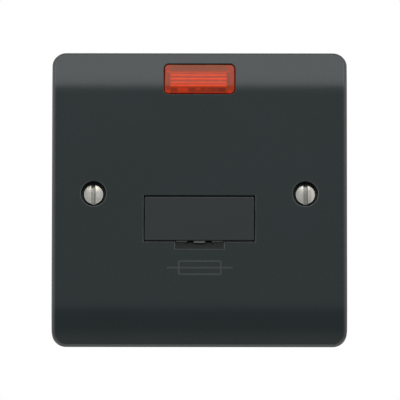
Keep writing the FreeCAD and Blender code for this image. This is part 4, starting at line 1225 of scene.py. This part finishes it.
@dataclass
class Studio:
    """White surroundings, a pale floor, soft lamps and the camera a little below the unit's middle.

    The camera's angles are in degrees, and its lens and sensor in millimetres.
    """

    finishes: Finishes
    ambient: Colour = (0.33, 0.335, 0.34)
    floor_level: float = -1.2
    floor_size: float = 12.0
    distance: float = 2.3
    elevation: float = -8.4
    roll: float = 0.06
    focal: float = 727.0
    sensor: float = 36.0
    nearest: float = 0.05
    farthest: float = 30.0
    aim: Place = (0.00015, -0.007, -0.00157)
    panels: tuple[Panel, ...] = (
        Panel("overhead", (0.0, -0.87, 0.97), (0.65, 1.05), 5.6),
        Panel("front", (0.0, -2.57, 0.38), (1.9, 1.64), 0.5),
        Panel("left", (-1.2, -0.3, 0.1), (0.5, 1.5), 3.2),
        Panel("right", (1.2, -0.25, 0.1), (0.5, 1.5), 2.2),
        Panel("rear", (0.5, 1.5, 0.9), (1.4, 1.2), 1.4),
    )

    def build(self) -> None:
        """Builds the surroundings, the floor, the lamps and the camera."""
        self.build_surroundings()
        self.build_floor()
        for panel in self.panels:
            panel.hang()
        self.build_camera()

    def build_surroundings(self) -> None:
        """White to the camera and to what metal and glass show, and a plain soft light otherwise."""
        world = bpy.data.worlds.new("surroundings")
        bpy.context.scene.world = world
        world.use_nodes = True
        nodes = Nodes(world.node_tree)
        light = nodes.tree.nodes["Background"]
        nodes.feed(light.inputs["Color"], self.ambient)
        white = nodes.add("ShaderNodeBackground", {"Color": (1.0, 1.0, 1.0)}).outputs[0]
        rays = nodes.add("ShaderNodeLightPath").outputs
        seen = nodes.math("MAXIMUM", rays["Is Camera Ray"], rays["Is Glossy Ray"])
        seen = nodes.math("MAXIMUM", seen, rays["Is Transmission Ray"])
        nodes.blend(seen, light.outputs[0], white, "World Output")

    def build_floor(self) -> None:
        """Lays the floor."""
        bpy.ops.object.select_all(action="DESELECT")
        bpy.ops.mesh.primitive_plane_add(size=self.floor_size, location=(0.0, 0.0, self.floor_level))
        floor = bpy.context.object
        floor.name = "floor"
        Bench.settle(floor)
        self.finishes.dress(floor, "floor_white")

    def build_camera(self) -> None:
        """Sets up the long lens."""
        bpy.ops.object.camera_add()
        camera = bpy.context.object
        camera.name = "camera"
        angle = math.radians(self.elevation)
        away = Vector((0.0, -math.cos(angle), math.sin(angle)))
        camera.location = Vector(self.aim) + away * self.distance
        camera.rotation_euler = (-away).to_track_quat("-Z", "Y").to_euler()
        camera.rotation_euler.rotate_axis("Z", math.radians(self.roll))
        camera.data.lens = self.focal
        camera.data.sensor_width = self.sensor
        camera.data.clip_start = self.nearest
        camera.data.clip_end = self.farthest
        bpy.context.scene.camera = camera


def main() -> None:
    """Builds and dresses the unit in order, then the studio."""
    logging.basicConfig(level=logging.INFO, format="%(message)s")
    bpy.context.scene.view_settings.view_transform = "Standard"
    finishes = Finishes()
    finishes.build()
    plate = FrontPlate(finishes)
    plate.build()
    plate.dress()
    NeonWindow(finishes).dress()
    FuseDrawer(finishes).dress()
    rear = RearMouldings(finishes)
    rear.build()
    rear.dress()
    terminals = Terminals(finishes)
    terminals.build()
    terminals.dress()
    Studio(finishes).build()


if __name__ == "__main__":
    main()
